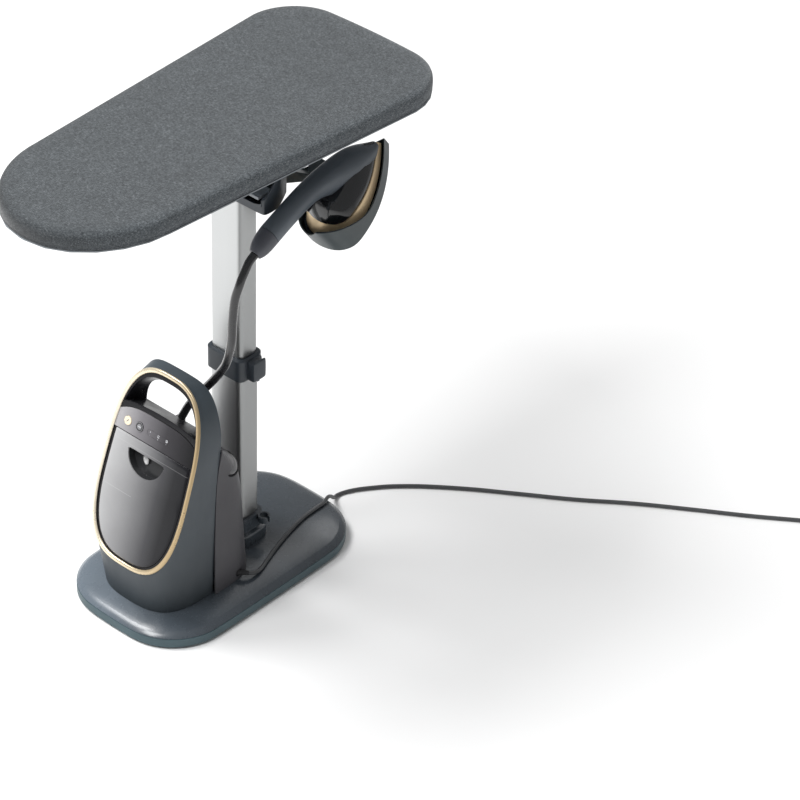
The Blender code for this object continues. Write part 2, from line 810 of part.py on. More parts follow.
def build_socket(dome):
    low = column_rect(SOCKET_LOW_WIDTH, SOCKET_LOW_DEPTH, SOCKET_LOW_RADIUS)
    up = column_rect(SOCKET_UP_WIDTH, SOCKET_UP_DEPTH, SOCKET_UP_RADIUS)
    bore = grown(outer_size(), FIT)
    socket = loft("column_socket", [
        ring_of(low, BAND_TOP), ring_of(low, SOCKET_LEDGE - SOCKET_STEP),
        ring_of([(x * (1 - SOCKET_STEP / SOCKET_LOW_WIDTH), y) for x, y in low], SOCKET_LEDGE),
        ring_of(up, SOCKET_LEDGE + SOCKET_STEP / 2), ring_of(up, SOCKET_TOP),
        ring_of(bore, SOCKET_TOP), ring_of(bore, SOCKET_FLOOR)], housing_blue())
    hook_x = SOCKET_UP_WIDTH / 2 + HOOK_SIDE - SOCKET_STEP
    hook_y = COLUMN_Y + HOOK_BACK
    hook_low = SOCKET_TOP - HOOK_HEIGHT
    hook = cylinder("hook_body", HOOK_OUTER, (hook_x, hook_y, hook_low),
                    (hook_x, hook_y, SOCKET_TOP), None)
    join(socket, hook)
    hollow = cylinder("hook_hollow", HOOK_INNER, (hook_x, hook_y, hook_low - OVERRUN),
                      (hook_x, hook_y, SOCKET_TOP + OVERRUN), None)
    cut(socket, hollow)
    slot = box("hook_slot", (hook_x, hook_y - HOOK_SLOT / 2, hook_low - OVERRUN),
               (hook_x + HOOK_OUTER + OVERRUN, hook_y + HOOK_SLOT / 2, SOCKET_TOP + OVERRUN), None)
    cut(socket, slot)
    return cut(socket, dome)


def build_collar():
    size = (COLLAR_WIDTH, COLLAR_DEPTH, COLLAR_RADIUS)
    top = COLLAR_BOTTOM + COLLAR_HEIGHT
    seat = OUTER_TOP + FIT + BUSH_HEIGHT + FIT
    inner = (INNER_WIDTH, INNER_DEPTH, INNER_RADIUS)
    body = grown(size, 0)
    slim = grown(size, -HEAD_WALL)
    collar = loft("collar", [
        ring_of(slim, COLLAR_BOTTOM), ring_of(body, COLLAR_BOTTOM + HEAD_WALL),
        ring_of(body, top - HEAD_WALL), ring_of(slim, top),
        ring_of(grown(inner, RUN), top), ring_of(grown(inner, RUN), seat),
        ring_of(grown(outer_size(), FIT), seat), ring_of(grown(outer_size(), FIT), COLLAR_BOTTOM)],
        housing_blue(), closed=True)
    clip_x = COLLAR_WIDTH / 2
    clip_y = COLUMN_Y + CLIP_BACK
    clip_low = top - HEAD_WALL - CLIP_HEIGHT
    half = CLIP_LENGTH / 2
    clip = box("clip_body", (clip_x - CLIP_REACH / 4, clip_y - half, clip_low),
               (clip_x + CLIP_REACH, clip_y + half, top - HEAD_WALL), None)
    bevel(clip, CLIP_ROUND)
    join(collar, clip)
    hole_mid = clip_x + CLIP_REACH / 2
    cut(collar, box("clip_slot", (hole_mid - CLIP_HOLE / 2, clip_y, clip_low - OVERRUN),
                    (hole_mid + CLIP_HOLE / 2, clip_y + half + OVERRUN, top + OVERRUN), None))
    rear_y = COLUMN_Y + COLLAR_DEPTH / 2
    pin_z = top - LEVER_DOWN
    pin_y = rear_y + EAR_REACH - EAR_HEIGHT / 2 + RUN
    ear_inner = LEVER_WIDTH / 2 + RUN
    for side in (-1, 1):
        inner_x, outer_x = side * ear_inner, side * (ear_inner + EAR_THICK)
        ear = box("ear_" + ("left" if side < 0 else "right"),
                  (min(inner_x, outer_x), rear_y - EAR_THICK, pin_z - EAR_HEIGHT / 2),
                  (max(inner_x, outer_x), rear_y + EAR_REACH, pin_z + EAR_HEIGHT / 2), None)
        join(collar, ear)
    pin_reach = ear_inner + EAR_THICK
    cut(collar, cylinder("pin_hole", PIN_RADIUS + FIT, (-pin_reach - OVERRUN, pin_y, pin_z),
                         (pin_reach + OVERRUN, pin_y, pin_z), None))
    cylinder("lever_pin", PIN_RADIUS, (-pin_reach, pin_y, pin_z), (pin_reach, pin_y, pin_z), steel())
    lever = cylinder("height_lever", LEVER_BARREL, (-LEVER_WIDTH / 2, pin_y, pin_z),
                     (LEVER_WIDTH / 2, pin_y, pin_z), housing_grey())
    tip_y = pin_y + LEVER_BARREL
    grip = side_prism("lever_grip", [(pin_y, pin_z), (tip_y - PIN_RADIUS, pin_z),
                                     (tip_y + LEVER_THICK, pin_z - LEVER_DROP),
                                     (tip_y, pin_z - LEVER_DROP)],
                      -LEVER_WIDTH / 2, LEVER_WIDTH / 2, None)
    join(lever, grip)
    cut(lever, cylinder("lever_bore", PIN_RADIUS + FIT, (-pin_reach - OVERRUN, pin_y, pin_z),
                        (pin_reach + OVERRUN, pin_y, pin_z), None))
    pivot("height_lever_axis", (0, pin_y, pin_z), [lever])
    return collar


def build_column(dome):
    build_socket(dome)
    tube("outer_tube", outer_size(), OUTER_WALL, SOCKET_FLOOR + FIT, OUTER_TOP, satin_aluminium())
    inner = (INNER_WIDTH, INNER_DEPTH, INNER_RADIUS)
    low = OUTER_TOP + FIT
    loft("guide_bush", [ring_of(grown(outer_size(), 0), low), ring_of(grown(outer_size(), 0), low + BUSH_HEIGHT),
                        ring_of(grown(inner, RUN), low + BUSH_HEIGHT), ring_of(grown(inner, RUN), low)],
         black_plastic(), closed=True)
    build_collar()
    column = tube("inner_tube", inner, INNER_WALL, INNER_BOTTOM, INNER_TOP, satin_aluminium())
    shoe = prism("guide_shoe", grown(inner, 0), INNER_BOTTOM - FIT - SHOE_HEIGHT, INNER_BOTTOM - FIT,
                 black_plastic())
    return [column, shoe]


# ---- Console housings

def housing_line(k, inset):
    """One line of the front housing's skin, from the ring back to the split plane."""
    angle = 2 * math.pi * k / RING_STEPS
    x, v = face_point(angle, inset - SKIN, inset - SKIN)
    front = face_world(x, v)
    rear_x, rear_z = back_point(angle, inset)
    rear = split_point(rear_x, rear_z)
    height_share = (v - RING_CENTRE_V) / RING_SEMI_V
    low = min(max((-height_share - 0.35) / 0.55, 0.0), 1.0)
    low = low * low * (3 - 2 * low)
    toe_share = min(abs(x) / (TOE_SEMI_X - inset), 1.0)
    toe_y = SPLIT_Y - (TOE_REACH - inset) * (1 - toe_share ** TOE_POWER) ** (1 / TOE_POWER)
    floor_z = REAR_CENTRE_Z - REAR_SEMI_BOTTOM
    toe = Vector((x, toe_y, floor_z))
    near = blend(blend(front, rear, 1 / 3), blend(front, toe, 0.4), low)
    middle = blend(blend(front, rear, 2 / 3), toe, low)
    return [front, near, middle, rear]


def build_front_housing(dome):
    outer = [housing_line(k, 0.0) for k in range(RING_STEPS)]
    inner = [housing_line(k, SKIN) for k in range(RING_STEPS)]
    rows = [[line[level] for line in outer] for level in range(4)]
    rows += [[line[level] for line in inner] for level in reversed(range(4))]
    skin = loft("front_housing", rows, housing_blue(), closed=True)
    return cut(skin, dome)


def build_rear_housing(dome):
    floor_z = REAR_CENTRE_Z - REAR_SEMI_BOTTOM
    rows = []
    for height_share, reach_share in zip(BACK_HEIGHT_SHARES, BACK_REACH_SHARES):
        level = floor_z + (BACK_TOP_Z - floor_z) * height_share
        flare = (level - REAR_CENTRE_Z) / REAR_SEMI_TOP
        half = rear_half(flare)
        row = []
        for k in range(BACK_STEPS + 1):
            angle = math.pi * k / BACK_STEPS
            x = half * signed_power(math.cos(angle), 2 / BACK_POWER)
            reach = BACK_REACH * reach_share * abs(math.sin(angle)) ** (2 / BACK_POWER)
            row.append(split_point(x, level, FIT + reach))
        rows.append(row)
    shell = sheet_grid("rear_housing", rows, housing_grey(), False)
    solidify(shell, BACK_WALL)
    return cut(shell, dome)


def build_ring():
    half = RING_WIDTH / 2
    section = ((-half, FIT), (half, FIT), (half, RING_PROUD * 0.6), (half * 0.4, RING_PROUD),
               (-half * 0.4, RING_PROUD), (-half, RING_PROUD * 0.6))
    rings = []
    for offset, level in section:
        points = [face_point(2 * math.pi * k / RING_STEPS, -offset, -offset) for k in range(RING_STEPS)]
        rings.append([(x, v, level) for x, v in points])
    return place(loft("trim_ring", rings, gold_metal(), closed=True), face_frame())


def sill_v(x, middle, drop, power):
    return middle - drop * abs(x / PANEL_HALF) ** power


def front_arch(inset_x, inset_v, corner_v, middle_v, drop, power):
    """Arch on the front face closed by a crowned sill, in face coordinates."""
    start = face_angle(corner_v, inset_v)
    points = []
    for k in range(LINER_ARC_STEPS + 1):
        angle = start + (math.pi - 2 * start) * k / LINER_ARC_STEPS
        points.append(face_point(angle, inset_x, inset_v))
    left, right = points[-1][0], points[0][0]
    for k in range(1, LINER_SILL_STEPS):
        x = left + (right - left) * k / LINER_SILL_STEPS
        points.append((x, sill_v(x, middle_v, drop, power)))
    return points


def back_arch(inset, back):
    """The liner's outline at the split plane, inside the front housing's skin."""
    low = math.asin(((FLANGE_FOOT_Z - REAR_CENTRE_Z) / (REAR_SEMI_TOP - inset)) ** (REAR_TOP_POWER / 2))
    points = []
    for k in range(LINER_ARC_STEPS + 1):
        x, z = back_point(low + (math.pi - 2 * low) * k / LINER_ARC_STEPS, inset)
        points.append(split_point(x, z, back))
    left, right = points[-1][0], points[0][0]
    for k in range(1, LINER_SILL_STEPS):
        points.append(split_point(left + (right - left) * k / LINER_SILL_STEPS, FLANGE_FOOT_Z, back))
    return points


def back_opening(grow, back):
    """The hand opening's outline at the split plane."""
    semi_x, semi_z = OPENING_BACK_SEMI_X + grow, OPENING_BACK_SEMI_Z + grow
    sill = OPENING_BACK_SILL - grow
    power = OPENING_BACK_POWER
    low = math.asin(((sill - OPENING_BACK_CENTRE_Z) / semi_z) ** (power / 2))
    points = []
    for k in range(LINER_ARC_STEPS + 1):
        angle = low + (math.pi - 2 * low) * k / LINER_ARC_STEPS
        points.append(split_point(semi_x * signed_power(math.cos(angle), 2 / power),
                                  OPENING_BACK_CENTRE_Z + semi_z * math.sin(angle) ** (2 / power), back))
    left, right = points[-1][0], points[0][0]
    for k in range(1, LINER_SILL_STEPS):
        points.append(split_point(left + (right - left) * k / LINER_SILL_STEPS, sill, back))
    return points


def build_liner():
    gap_v = PANEL_TOP_V + 5 * FIT
    side_v = SILL_MID_V - SILL_SIDE_DROP

    def on_face(points, n):
        return [face_world(x, v, n) for x, v in points]

    outer = front_arch(2 * FIT, 2 * FIT, LINER_CORNER_V, gap_v, PANEL_TOP_DROP, 4)
    opening = front_arch(OPENING_SIDE, OPENING_SEMI_DROP, side_v, SILL_MID_V, SILL_SIDE_DROP, 2)
    backed = front_arch(OPENING_SIDE - LINER_WALL, OPENING_SEMI_DROP - LINER_WALL, side_v - LINER_WALL,
                        SILL_MID_V - LINER_WALL, SILL_SIDE_DROP, 2)
    rear = -FIT
    inset = SKIN + 5 * FIT
    rings = [on_face(outer, 0), on_face(opening, 0), back_opening(0.0, rear), back_arch(inset, rear),
             back_arch(2 * inset - SKIN, rear - LINER_WALL), back_opening(LINER_WALL, rear - LINER_WALL),
             on_face(backed, -LINER_WALL), on_face(outer, -LINER_WALL)]
    return loft("handle_liner", rings, black_plastic(), closed=True)


def panel_outline():
    low = face_angle(PANEL_BOTTOM_V)
    high = face_angle(PANEL_CORNER_V)
    right = [face_point(low + (high - low) * k / ARC_STEPS, 2 * FIT, 2 * FIT) for k in range(ARC_STEPS + 1)]
    end = right[-1][0]
    top = []
    for k in range(1, LINER_SILL_STEPS):
        x = end * (1 - 2 * k / LINER_SILL_STEPS)
        top.append((x, sill_v(x, PANEL_TOP_V, PANEL_TOP_DROP, 4)))
    left = [(-x, v) for x, v in reversed(right)]
    return right + top + left


def build_panel():
    frame = face_frame()
    panel = prism("control_panel", panel_outline(), -PANEL_THICK, 0, housing_blue())
    mid_v = (POWER_V + MODE_V) / 2
    for side, x in (("left", POST_LEFT_X), ("right", POST_RIGHT_X)):
        bar = box("panel_post_" + side, (x - POST_WIDTH / 2, mid_v - POST_HEIGHT / 2, -POST_DEPTH),
                  (x + POST_WIDTH / 2, mid_v + POST_HEIGHT / 2, -PANEL_THICK / 2), None)
        join(panel, place(bar, frame))
    buttons = []
    for name, x, v, radius, surface in (("power_button", POWER_X, POWER_V, POWER_RADIUS, gold_metal()),
                                        ("mode_button", MODE_X, MODE_V, MODE_RADIUS, black_plastic())):
        hole = cylinder(name + "_hole", radius + RUN, (x, v, -PANEL_THICK - OVERRUN), (x, v, OVERRUN), None)
        cut(panel, place(hole, frame))
        button = cylinder(name, radius, (x, v, -BUTTON_DEPTH), (x, v, BUTTON_PROUD), surface)
        place(button, frame)
        pivot(name + "_axis", face_world(x, v), [button])
        buttons.append(button)
    half_x, half_v = LIGHT_WIDTH / 2, LIGHT_HEIGHT / 2
    slot = box("light_slot", (LIGHT_X - half_x - FIT, LIGHT_V - half_v - FIT, -PANEL_THICK - OVERRUN),
               (LIGHT_X + half_x + FIT, LIGHT_V + half_v + FIT, OVERRUN), None)
    cut(panel, place(slot, frame))
    place(box("indicator_strip", (LIGHT_X - half_x, LIGHT_V - half_v, -PANEL_THICK),
              (LIGHT_X + half_x, LIGHT_V + half_v, -FIT), black_gloss()), frame)
    place(box("circuit_board", (-BOARD_PCB_WIDTH / 2, mid_v - BOARD_PCB_HEIGHT / 2,
                                -POST_DEPTH - FIT - BOARD_PCB_THICK),
              (BOARD_PCB_WIDTH / 2, mid_v + BOARD_PCB_HEIGHT / 2, -POST_DEPTH - FIT), pcb_green()), frame)
    return place(panel, frame)


# ---- Water tank

def tank_outline(side, end, top_v, bottom_v=None):
    """Lower part of the face outline under a straight top, optionally from a lower line down."""
    start = face_angle(top_v, end)
    points = []
    for k in range(TANK_ARC_STEPS + 1):
        angle = math.pi - start + (math.pi + 2 * start) * k / TANK_ARC_STEPS
        x, v = face_point(angle, side, end)
        points.append((x, v if bottom_v is None else max(v, bottom_v)))
    left, right = points[0][0], points[-1][0]
    for k in range(1, TANK_TOP_STEPS):
        points.append((right + (left - right) * k / TANK_TOP_STEPS, top_v))
    return points


def on_level(points, level):
    return [(x, v, level) for x, v in points]


def build_tank():
    frame = face_frame()
    edge = tank_outline(TANK_SIDE + TANK_EDGE, TANK_END + TANK_EDGE, TANK_TOP_V - TANK_EDGE)
    full = tank_outline(TANK_SIDE, TANK_END, TANK_TOP_V)
    tank = loft("water_tank", [on_level(full, -TANK_DEPTH), on_level(full, TANK_PROUD - TANK_EDGE / 2),
                               on_level(edge, TANK_PROUD)], smoky_tank())
    deep = TANK_WALL - TANK_DEPTH
    divide_v = GRIP_TOP_V - GRIP_DROP - 2 * TANK_WALL
    low = tank_outline(TANK_SIDE + TANK_WALL, TANK_END + TANK_WALL, divide_v)
    lower = loft("tank_cavity_low", [on_level(low, deep), on_level(low, TANK_PROUD - TANK_EDGE)], None)
    cut(tank, place(lower, frame))
    half = GRIP_HALF + 4 * TANK_WALL
    shelf = -GRIP_DEPTH - TANK_WALL
    upper = box("tank_cavity_high", (-half - GRIP_HALF / 2, divide_v - TANK_WALL, deep),
                (half + GRIP_HALF / 2, TANK_TOP_V - TANK_WALL, shelf), None)
    cut(tank, place(upper, frame))
    mouth = cylinder("tank_mouth", CAP_RADIUS, (CAP_X, TANK_TOP_V - 2 * TANK_WALL, CAP_N),
                     (CAP_X, TANK_TOP_V + OVERRUN, CAP_N), None)
    cut(tank, place(mouth, frame))
    grip = [(GRIP_X + GRIP_HALF * math.cos(math.pi * (1 + k / LINER_SILL_STEPS)),
             GRIP_TOP_V + GRIP_DROP * math.sin(math.pi * (1 + k / LINER_SILL_STEPS)))
            for k in range(LINER_SILL_STEPS + 1)]
    recess = prism("grip_recess", grip, -GRIP_DEPTH, OVERRUN, None)
    cut(tank, place(recess, frame))
    place(tank, frame)
    cap = cylinder("tank_cap", CAP_RADIUS - FIT, (CAP_X, TANK_TOP_V - 2 * TANK_WALL, CAP_N),
                   (CAP_X, TANK_TOP_V - FIT, CAP_N), black_plastic())
    place(cap, frame)
    valve = cylinder("tank_valve", VALVE_RADIUS, (0, VALVE_V, FIT - BAY_DEPTH),
                     (0, VALVE_V, -TANK_DEPTH - FIT), black_plastic())
    place(valve, frame)
    pivot("tank_axis", face_world(0, 0), [tank, cap, valve])

    inner = tank_outline(TANK_SIDE - BAY_GAP, TANK_END - BAY_GAP, TANK_TOP_V + BAY_GAP)
    outer = tank_outline(TANK_SIDE - BAY_GAP - BAY_WALL, TANK_END - BAY_GAP - BAY_WALL,
                         TANK_TOP_V + BAY_GAP + BAY_LIP / 2)
    lip = tank_outline(2 * FIT, 2 * FIT, TANK_TOP_V + BAY_GAP + BAY_LIP)
    bay = loft("tank_bay", [on_level(inner, -BAY_DEPTH), on_level(inner, -BAY_LIP), on_level(lip, -BAY_LIP),
                            on_level(lip, -BAY_LIP - BAY_WALL), on_level(outer, -BAY_LIP - BAY_WALL),
                            on_level(outer, -BAY_DEPTH - BAY_BACK)], black_plastic())
    return place(bay, frame)


# ---- Parts on and in the rear housing

def descale_axis():
    return Vector((math.sin(DESCALE_TILT) * math.cos(DESCALE_TURN),
                   math.sin(DESCALE_TILT) * math.sin(DESCALE_TURN), math.cos(DESCALE_TILT)))


def dome_plug(name, radius, surface):
    """Round plug with a low domed top, turned about its own axis."""
    shares = ((1.0, 0.0), (1.0, 0.25), (0.90, 0.62), (0.66, 0.87), (0.34, 0.98))
    data = bpy.data.meshes.new(name)
    bm = bmesh.new()
    profile = [(0.0, DESCALE_CROWN)]
    profile += [(radius * across, DESCALE_CROWN * up) for across, up in reversed(shares)]
    profile += [(radius, -DESCALE_PLUG), (0.0, -DESCALE_PLUG)]
    verts = [bm.verts.new((across, 0, up)) for across, up in profile]
    for first, second in zip(verts, verts[1:]):
        bm.edges.new((first, second))
    bm.to_mesh(data)
    bm.free()
    item = add_object(name, data, surface) if surface else cutter_object(name, data)
    turn = item.modifiers.new("turn", "SCREW")
    turn.steps = turn.render_steps = ROUND_SIDES
    turn.merge_threshold = MERGE
    turn.use_merge_vertices = True
    tilt = descale_axis().to_track_quat("Z", "Y").to_matrix().to_4x4()
    item.matrix_world = Matrix.Translation((DESCALE_X, DESCALE_Y, DESCALE_Z)) @ tilt
    return item


def round_ring(centre, heading, radius):
    side = heading.orthogonal().normalized()
    other = heading.cross(side)
    turns = [2 * math.pi * k / ROUND_SIDES for k in range(ROUND_SIDES)]
    return [centre + (side * math.cos(turn) + other * math.sin(turn)) * radius for turn in turns]


def gland_mouth():
    """Centre of the hose gland's mouth, and the way that it points."""
    return Vector((GLAND_X, GLAND_Y, GLAND_TOP)), Vector((math.sin(GLAND_TILT), 0, math.cos(GLAND_TILT)))


def build_services(dome, rear):
    boiler_y = SPLIT_Y + BOILER_FORWARD
    boiler = cylinder("boiler", BOILER_RADIUS, (BOILER_X, boiler_y, BAND_TOP),
                      (BOILER_X, boiler_y, BOILER_TOP), steel(), sides=32)
    cut(boiler, dome)
    pump = box("pump", (PUMP_X - PUMP_WIDTH / 2, boiler_y - PUMP_DEPTH / 2, BAND_TOP),
               (PUMP_X + PUMP_WIDTH / 2, boiler_y + PUMP_DEPTH / 2, PUMP_TOP), black_plastic())
    cut(pump, dome)
    plug = dome_plug("descale_cap", DESCALE_RADIUS, housing_grey())
    cut(rear, dome_plug("descale_seat", DESCALE_RADIUS + RUN, None))
    pivot("descale_cap_axis", (DESCALE_X, DESCALE_Y, DESCALE_Z), [plug])
    mouth, out = gland_mouth()
    cylinder("hose_gland", GLAND_RADIUS, mouth - out * GLAND_LENGTH, mouth, black_plastic())
    cut(rear, cylinder("hose_gland_hole", GLAND_RADIUS + FIT, mouth - out * 1.5 * GLAND_LENGTH,
                       mouth + out * OVERRUN, None))
    heading = Vector(CORD_DIRECTION).normalized()
    tip = Vector(CORD_START) - heading * FIT
    wall = tip - heading * CORD_GLAND_OUT
    loft("cord_gland", [round_ring(wall - heading * CORD_GLAND_IN, heading, CORD_GLAND_RADIUS),
                        round_ring(wall, heading, CORD_GLAND_RADIUS),
                        round_ring(tip, heading, CORD_RADIUS + CORD_GLAND_LIP)], black_plastic())
    cut(rear, cylinder("cord_gland_hole", CORD_GLAND_RADIUS + FIT, tip - heading * 3 * CORD_GLAND_IN,
                       tip + heading * OVERRUN, None))


# ---- Head

def head_outline(inset):
    front, back = HEAD_FRONT_Y + inset, HEAD_BACK_Y - inset
    wide, slim = HEAD_HALF - inset, HEAD_BACK_HALF - inset
    corner = HEAD_EDGE * 2
    right = [(wide - corner, front), (wide - corner / 3, front + corner / 3), (wide, front + corner),
             (wide, HEAD_SHOULDER_Y), (slim, back - corner), (slim - corner / 3, back - corner / 3),
             (slim - corner, back)]
    return right + [(-x, y) for x, y in reversed(right)]


def build_head():
    floor = HEAD_BOTTOM + HEAD_WALL
    rings = [ring_of(head_outline(HEAD_EDGE), HEAD_BOTTOM), ring_of(head_outline(0), HEAD_BOTTOM + HEAD_EDGE),
             ring_of(head_outline(0), HEAD_TOP), ring_of(head_outline(HEAD_WALL), HEAD_TOP),
             ring_of(head_outline(HEAD_WALL), floor + HEAD_EDGE),
             ring_of(head_outline(HEAD_WALL + HEAD_EDGE), floor)]
    head = loft("head_housing", rings, housing_blue())
    inner = (INNER_WIDTH, INNER_DEPTH, INNER_RADIUS)
    hole = prism("head_hole", grown(inner, FIT), HEAD_BOTTOM - OVERRUN, floor + OVERRUN, None)
    cut(head, hole)
    reach = HEAD_HALF - 2 * HEAD_EDGE
    cut(head, box("head_mouth", (-reach, HEAD_FRONT_Y - OVERRUN, HEAD_BOTTOM + HEAD_LIP),
                  (reach, HEAD_FRONT_Y + HEAD_WALL + OVERRUN, HEAD_TOP + OVERRUN), None))
    slope = [(HEAD_FRONT_Y - OVERRUN, HEAD_BOTTOM + HEAD_SIDE_LIP), (HEAD_FRONT_Y, HEAD_BOTTOM + HEAD_SIDE_LIP),
             (HEAD_SLOPE_Y, HEAD_TOP), (HEAD_SLOPE_Y, HEAD_TOP + OVERRUN),
             (HEAD_FRONT_Y - OVERRUN, HEAD_TOP + OVERRUN)]
    cut(head, side_prism("head_slope", slope, -HEAD_HALF - OVERRUN, HEAD_HALF + OVERRUN, None))

    block_outer = grown(inner, FIT + BLOCK_WALL)
    block = loft("head_block", [
        ring_of(grown(inner, FIT), BLOCK_BOTTOM), ring_of(block_outer, BLOCK_BOTTOM),
        ring_of(block_outer, BLOCK_TOP), ring_of(grown(inner, FIT - BLOCK_WALL), BLOCK_TOP),
        ring_of(grown(inner, FIT - BLOCK_WALL), INNER_TOP + FIT), ring_of(grown(inner, FIT), INNER_TOP + FIT)],
        steel(), closed=True)
    for side in (-1, 1):
        edges = sorted((side * CHEEK_OUTER, side * (CHEEK_OUTER - CHEEK_THICK - BLOCK_WALL * 2)))
        foot = box("cheek_foot_" + str(side + 1), (edges[0], COLUMN_Y - CHEEK_DEPTH / 2, BLOCK_BOTTOM + BLOCK_WALL),
                   (edges[1], COLUMN_Y + CHEEK_DEPTH / 2, BLOCK_TOP - BLOCK_WALL), None)
        bore_clear = grown(inner, FIT)
        cut(foot, prism("cheek_clear_" + str(side + 1), bore_clear, BLOCK_BOTTOM - OVERRUN,
                        INNER_TOP + FIT, None))
        join(block, foot)
        edges = sorted((side * CHEEK_OUTER, side * (CHEEK_OUTER - CHEEK_THICK)))
        cheek = box("cheek_" + str(side + 1), (edges[0], COLUMN_Y - CHEEK_DEPTH / 2, BLOCK_BOTTOM + 2 * BLOCK_WALL),
                    (edges[1], COLUMN_Y + CHEEK_DEPTH / 2, HEAD_TOP), None)
        join(block, cheek)
    ear_outer = CHEEK_OUTER + BRACKET_EAR_THICK + 2 * RUN + 2 * FIT
    span = ear_outer + HEAD_WALL
    cut(block, cylinder("hinge_hole", HINGE_PIN_RADIUS + FIT, (-span, COLUMN_Y, HINGE_Z),
                        (span, COLUMN_Y, HINGE_Z), None))
    hinge = cylinder("hinge_pin", HINGE_PIN_RADIUS, (-span, COLUMN_Y, HINGE_Z), (span, COLUMN_Y, HINGE_Z), steel())

    outline = [(-PADDLE_HALF, PADDLE_FRONT_Y), (PADDLE_HALF, PADDLE_FRONT_Y), (PADDLE_HALF, PADDLE_PIN_Y),
               (PADDLE_ARM_INNER, PADDLE_PIN_Y), (PADDLE_ARM_INNER, PADDLE_NECK_Y),
               (-PADDLE_ARM_INNER, PADDLE_NECK_Y), (-PADDLE_ARM_INNER, PADDLE_PIN_Y),
               (-PADDLE_HALF, PADDLE_PIN_Y)]
    paddle = prism("tilt_lever", outline, PADDLE_Z - PADDLE_THICK / 2, PADDLE_Z + PADDLE_THICK / 2, housing_grey())
    for side in (-1, 1):
        pin = cylinder("paddle_pin_" + str(side + 1), PADDLE_PIN,
                       (side * PADDLE_ARM_INNER, PADDLE_PIN_Y, PADDLE_Z),
                       (side * (HEAD_HALF - HEAD_WALL - RUN), PADDLE_PIN_Y, PADDLE_Z), None)
        join(paddle, pin)
    pivot("tilt_lever_axis", (0, PADDLE_PIN_Y, PADDLE_Z), [paddle])
    return [head, block, hinge]


# ---- Board

def build_board():
    flange_top = BOARD_BOTTOM + BOARD_FRAME_THICK
    tray = prism("board_frame", board_outline(COVER_TUCK / 3), BOARD_BOTTOM, flange_top, frame_grey())
    spine = box("board_spine", (-SPINE_HALF, SPINE_FRONT_Y, BOARD_BOTTOM - FIT - SPINE_DEPTH),
                (SPINE_HALF, SPINE_BACK_Y, BOARD_BOTTOM - FIT), frame_grey())
    low = flange_top + FIT
    side = BOARD_TOP - BOARD_EDGE
    outer = [(COVER_TUCK, low), (0.0, low + BOARD_EDGE / 2), (0.0, side), (BOARD_EDGE * 0.3, BOARD_TOP - BOARD_EDGE * 0.3),
             (BOARD_EDGE, BOARD_TOP)]
    inner = [(inset + COVER_CLOTH, level - (COVER_CLOTH if k == len(outer) - 1 else 0))
             for k, (inset, level) in enumerate(outer)]
    inner[-2] = (outer[-2][0] + COVER_CLOTH, outer[-2][1] - COVER_CLOTH)
    rings = [ring_of(board_outline(inset), level) for inset, level in reversed(inner)]
    rings += [ring_of(board_outline(inset), level) for inset, level in outer]
    cover = loft("board_cover", rings, board_fabric(), smooth=50)
    plate_inset = COVER_TUCK + COVER_CLOTH + FIT
    mesh = prism("mesh_plate", board_outline(plate_inset), low, low + MESH_THICK, steel())
    foam_low = low + MESH_THICK + FIT
    foam = loft("foam_pad", [
        ring_of(board_outline(plate_inset), foam_low), ring_of(board_outline(plate_inset), side),
        ring_of(board_outline(inner[-2][0] + FIT), inner[-2][1] - FIT),
        ring_of(board_outline(inner[-1][0] + FIT), inner[-1][1] - FIT)], foam_grey())
    pieces = [tray, spine, cover, mesh, foam]
    ear_inner = CHEEK_OUTER + 2 * RUN + FIT
    for name, hand in (("left", -1), ("right", 1)):
        ear = sorted((hand * ear_inner, hand * (ear_inner + BRACKET_EAR_THICK)))
        flange = sorted((hand * ear_inner, hand * (ear_inner + BRACKET_FLANGE_WIDTH)))
        top = BOARD_BOTTOM - FIT
        bracket = box("board_bracket_" + name, (flange[0], BRACKET_FRONT_Y, top - BRACKET_FLANGE_THICK),
                      (flange[1], BRACKET_BACK_Y, top), housing_grey())
        half = BRACKET_EAR_DEPTH / 2
        plate = box("bracket_ear_" + name, (ear[0], COLUMN_Y - half, HINGE_Z - BRACKET_EAR_DROP),
                    (ear[1], COLUMN_Y + half, top - BRACKET_FLANGE_THICK / 2), None)
        join(bracket, plate)
        cut(bracket, cylinder("bracket_hole_" + name, HINGE_PIN_RADIUS + FIT,
                              (ear[0] - OVERRUN, COLUMN_Y, HINGE_Z), (ear[1] + OVERRUN, COLUMN_Y, HINGE_Z), None))
        pieces.append(bracket)
    pivot("board_axis", (0, COLUMN_Y, HINGE_Z), pieces)
    return pieces


# ---- Iron

def iron_frame():
    return Matrix.Translation((IRON_X, IRON_Y, IRON_Z)) @ Matrix.Rotation(IRON_PITCH, 4, "X")


def iron_half(share):
    """Half width of the sole at a share of its length, as a share of half the full width."""
    if share < IRON_HEEL_SHARE:
        bend = 1 - share / IRON_HEEL_SHARE
        return math.sqrt(max(1 - bend ** 2.4, 0.0))
    if share > IRON_TAPER_START_SHARE:
        return 1 - ((share - IRON_TAPER_START_SHARE) / (1 - IRON_TAPER_START_SHARE)) ** IRON_TAPER_POWER
    return 1.0


IRON_STATION_SHARES = (0.015, 0.05, 0.11, 0.18, 0.28, 0.40, 0.52, 0.64, 0.75, 0.84, 0.91, 0.96, 0.985)


def iron_outline(grow=0.0, width_share=1.0, heel_share=0.0, tip_share=1.0):
    """Outline of the sole, heel to tip, optionally grown or drawn in."""
    start, end = IRON_LENGTH * heel_share - grow, IRON_LENGTH * tip_share + grow
    half = IRON_WIDTH / 2 * width_share + grow
    right = [(half * iron_half(share), start + (end - start) * share) for share in IRON_STATION_SHARES]
    left = [(-x, y) for x, y in reversed(right)]
    return [(0.0, start)] + right + [(0.0, end)] + left


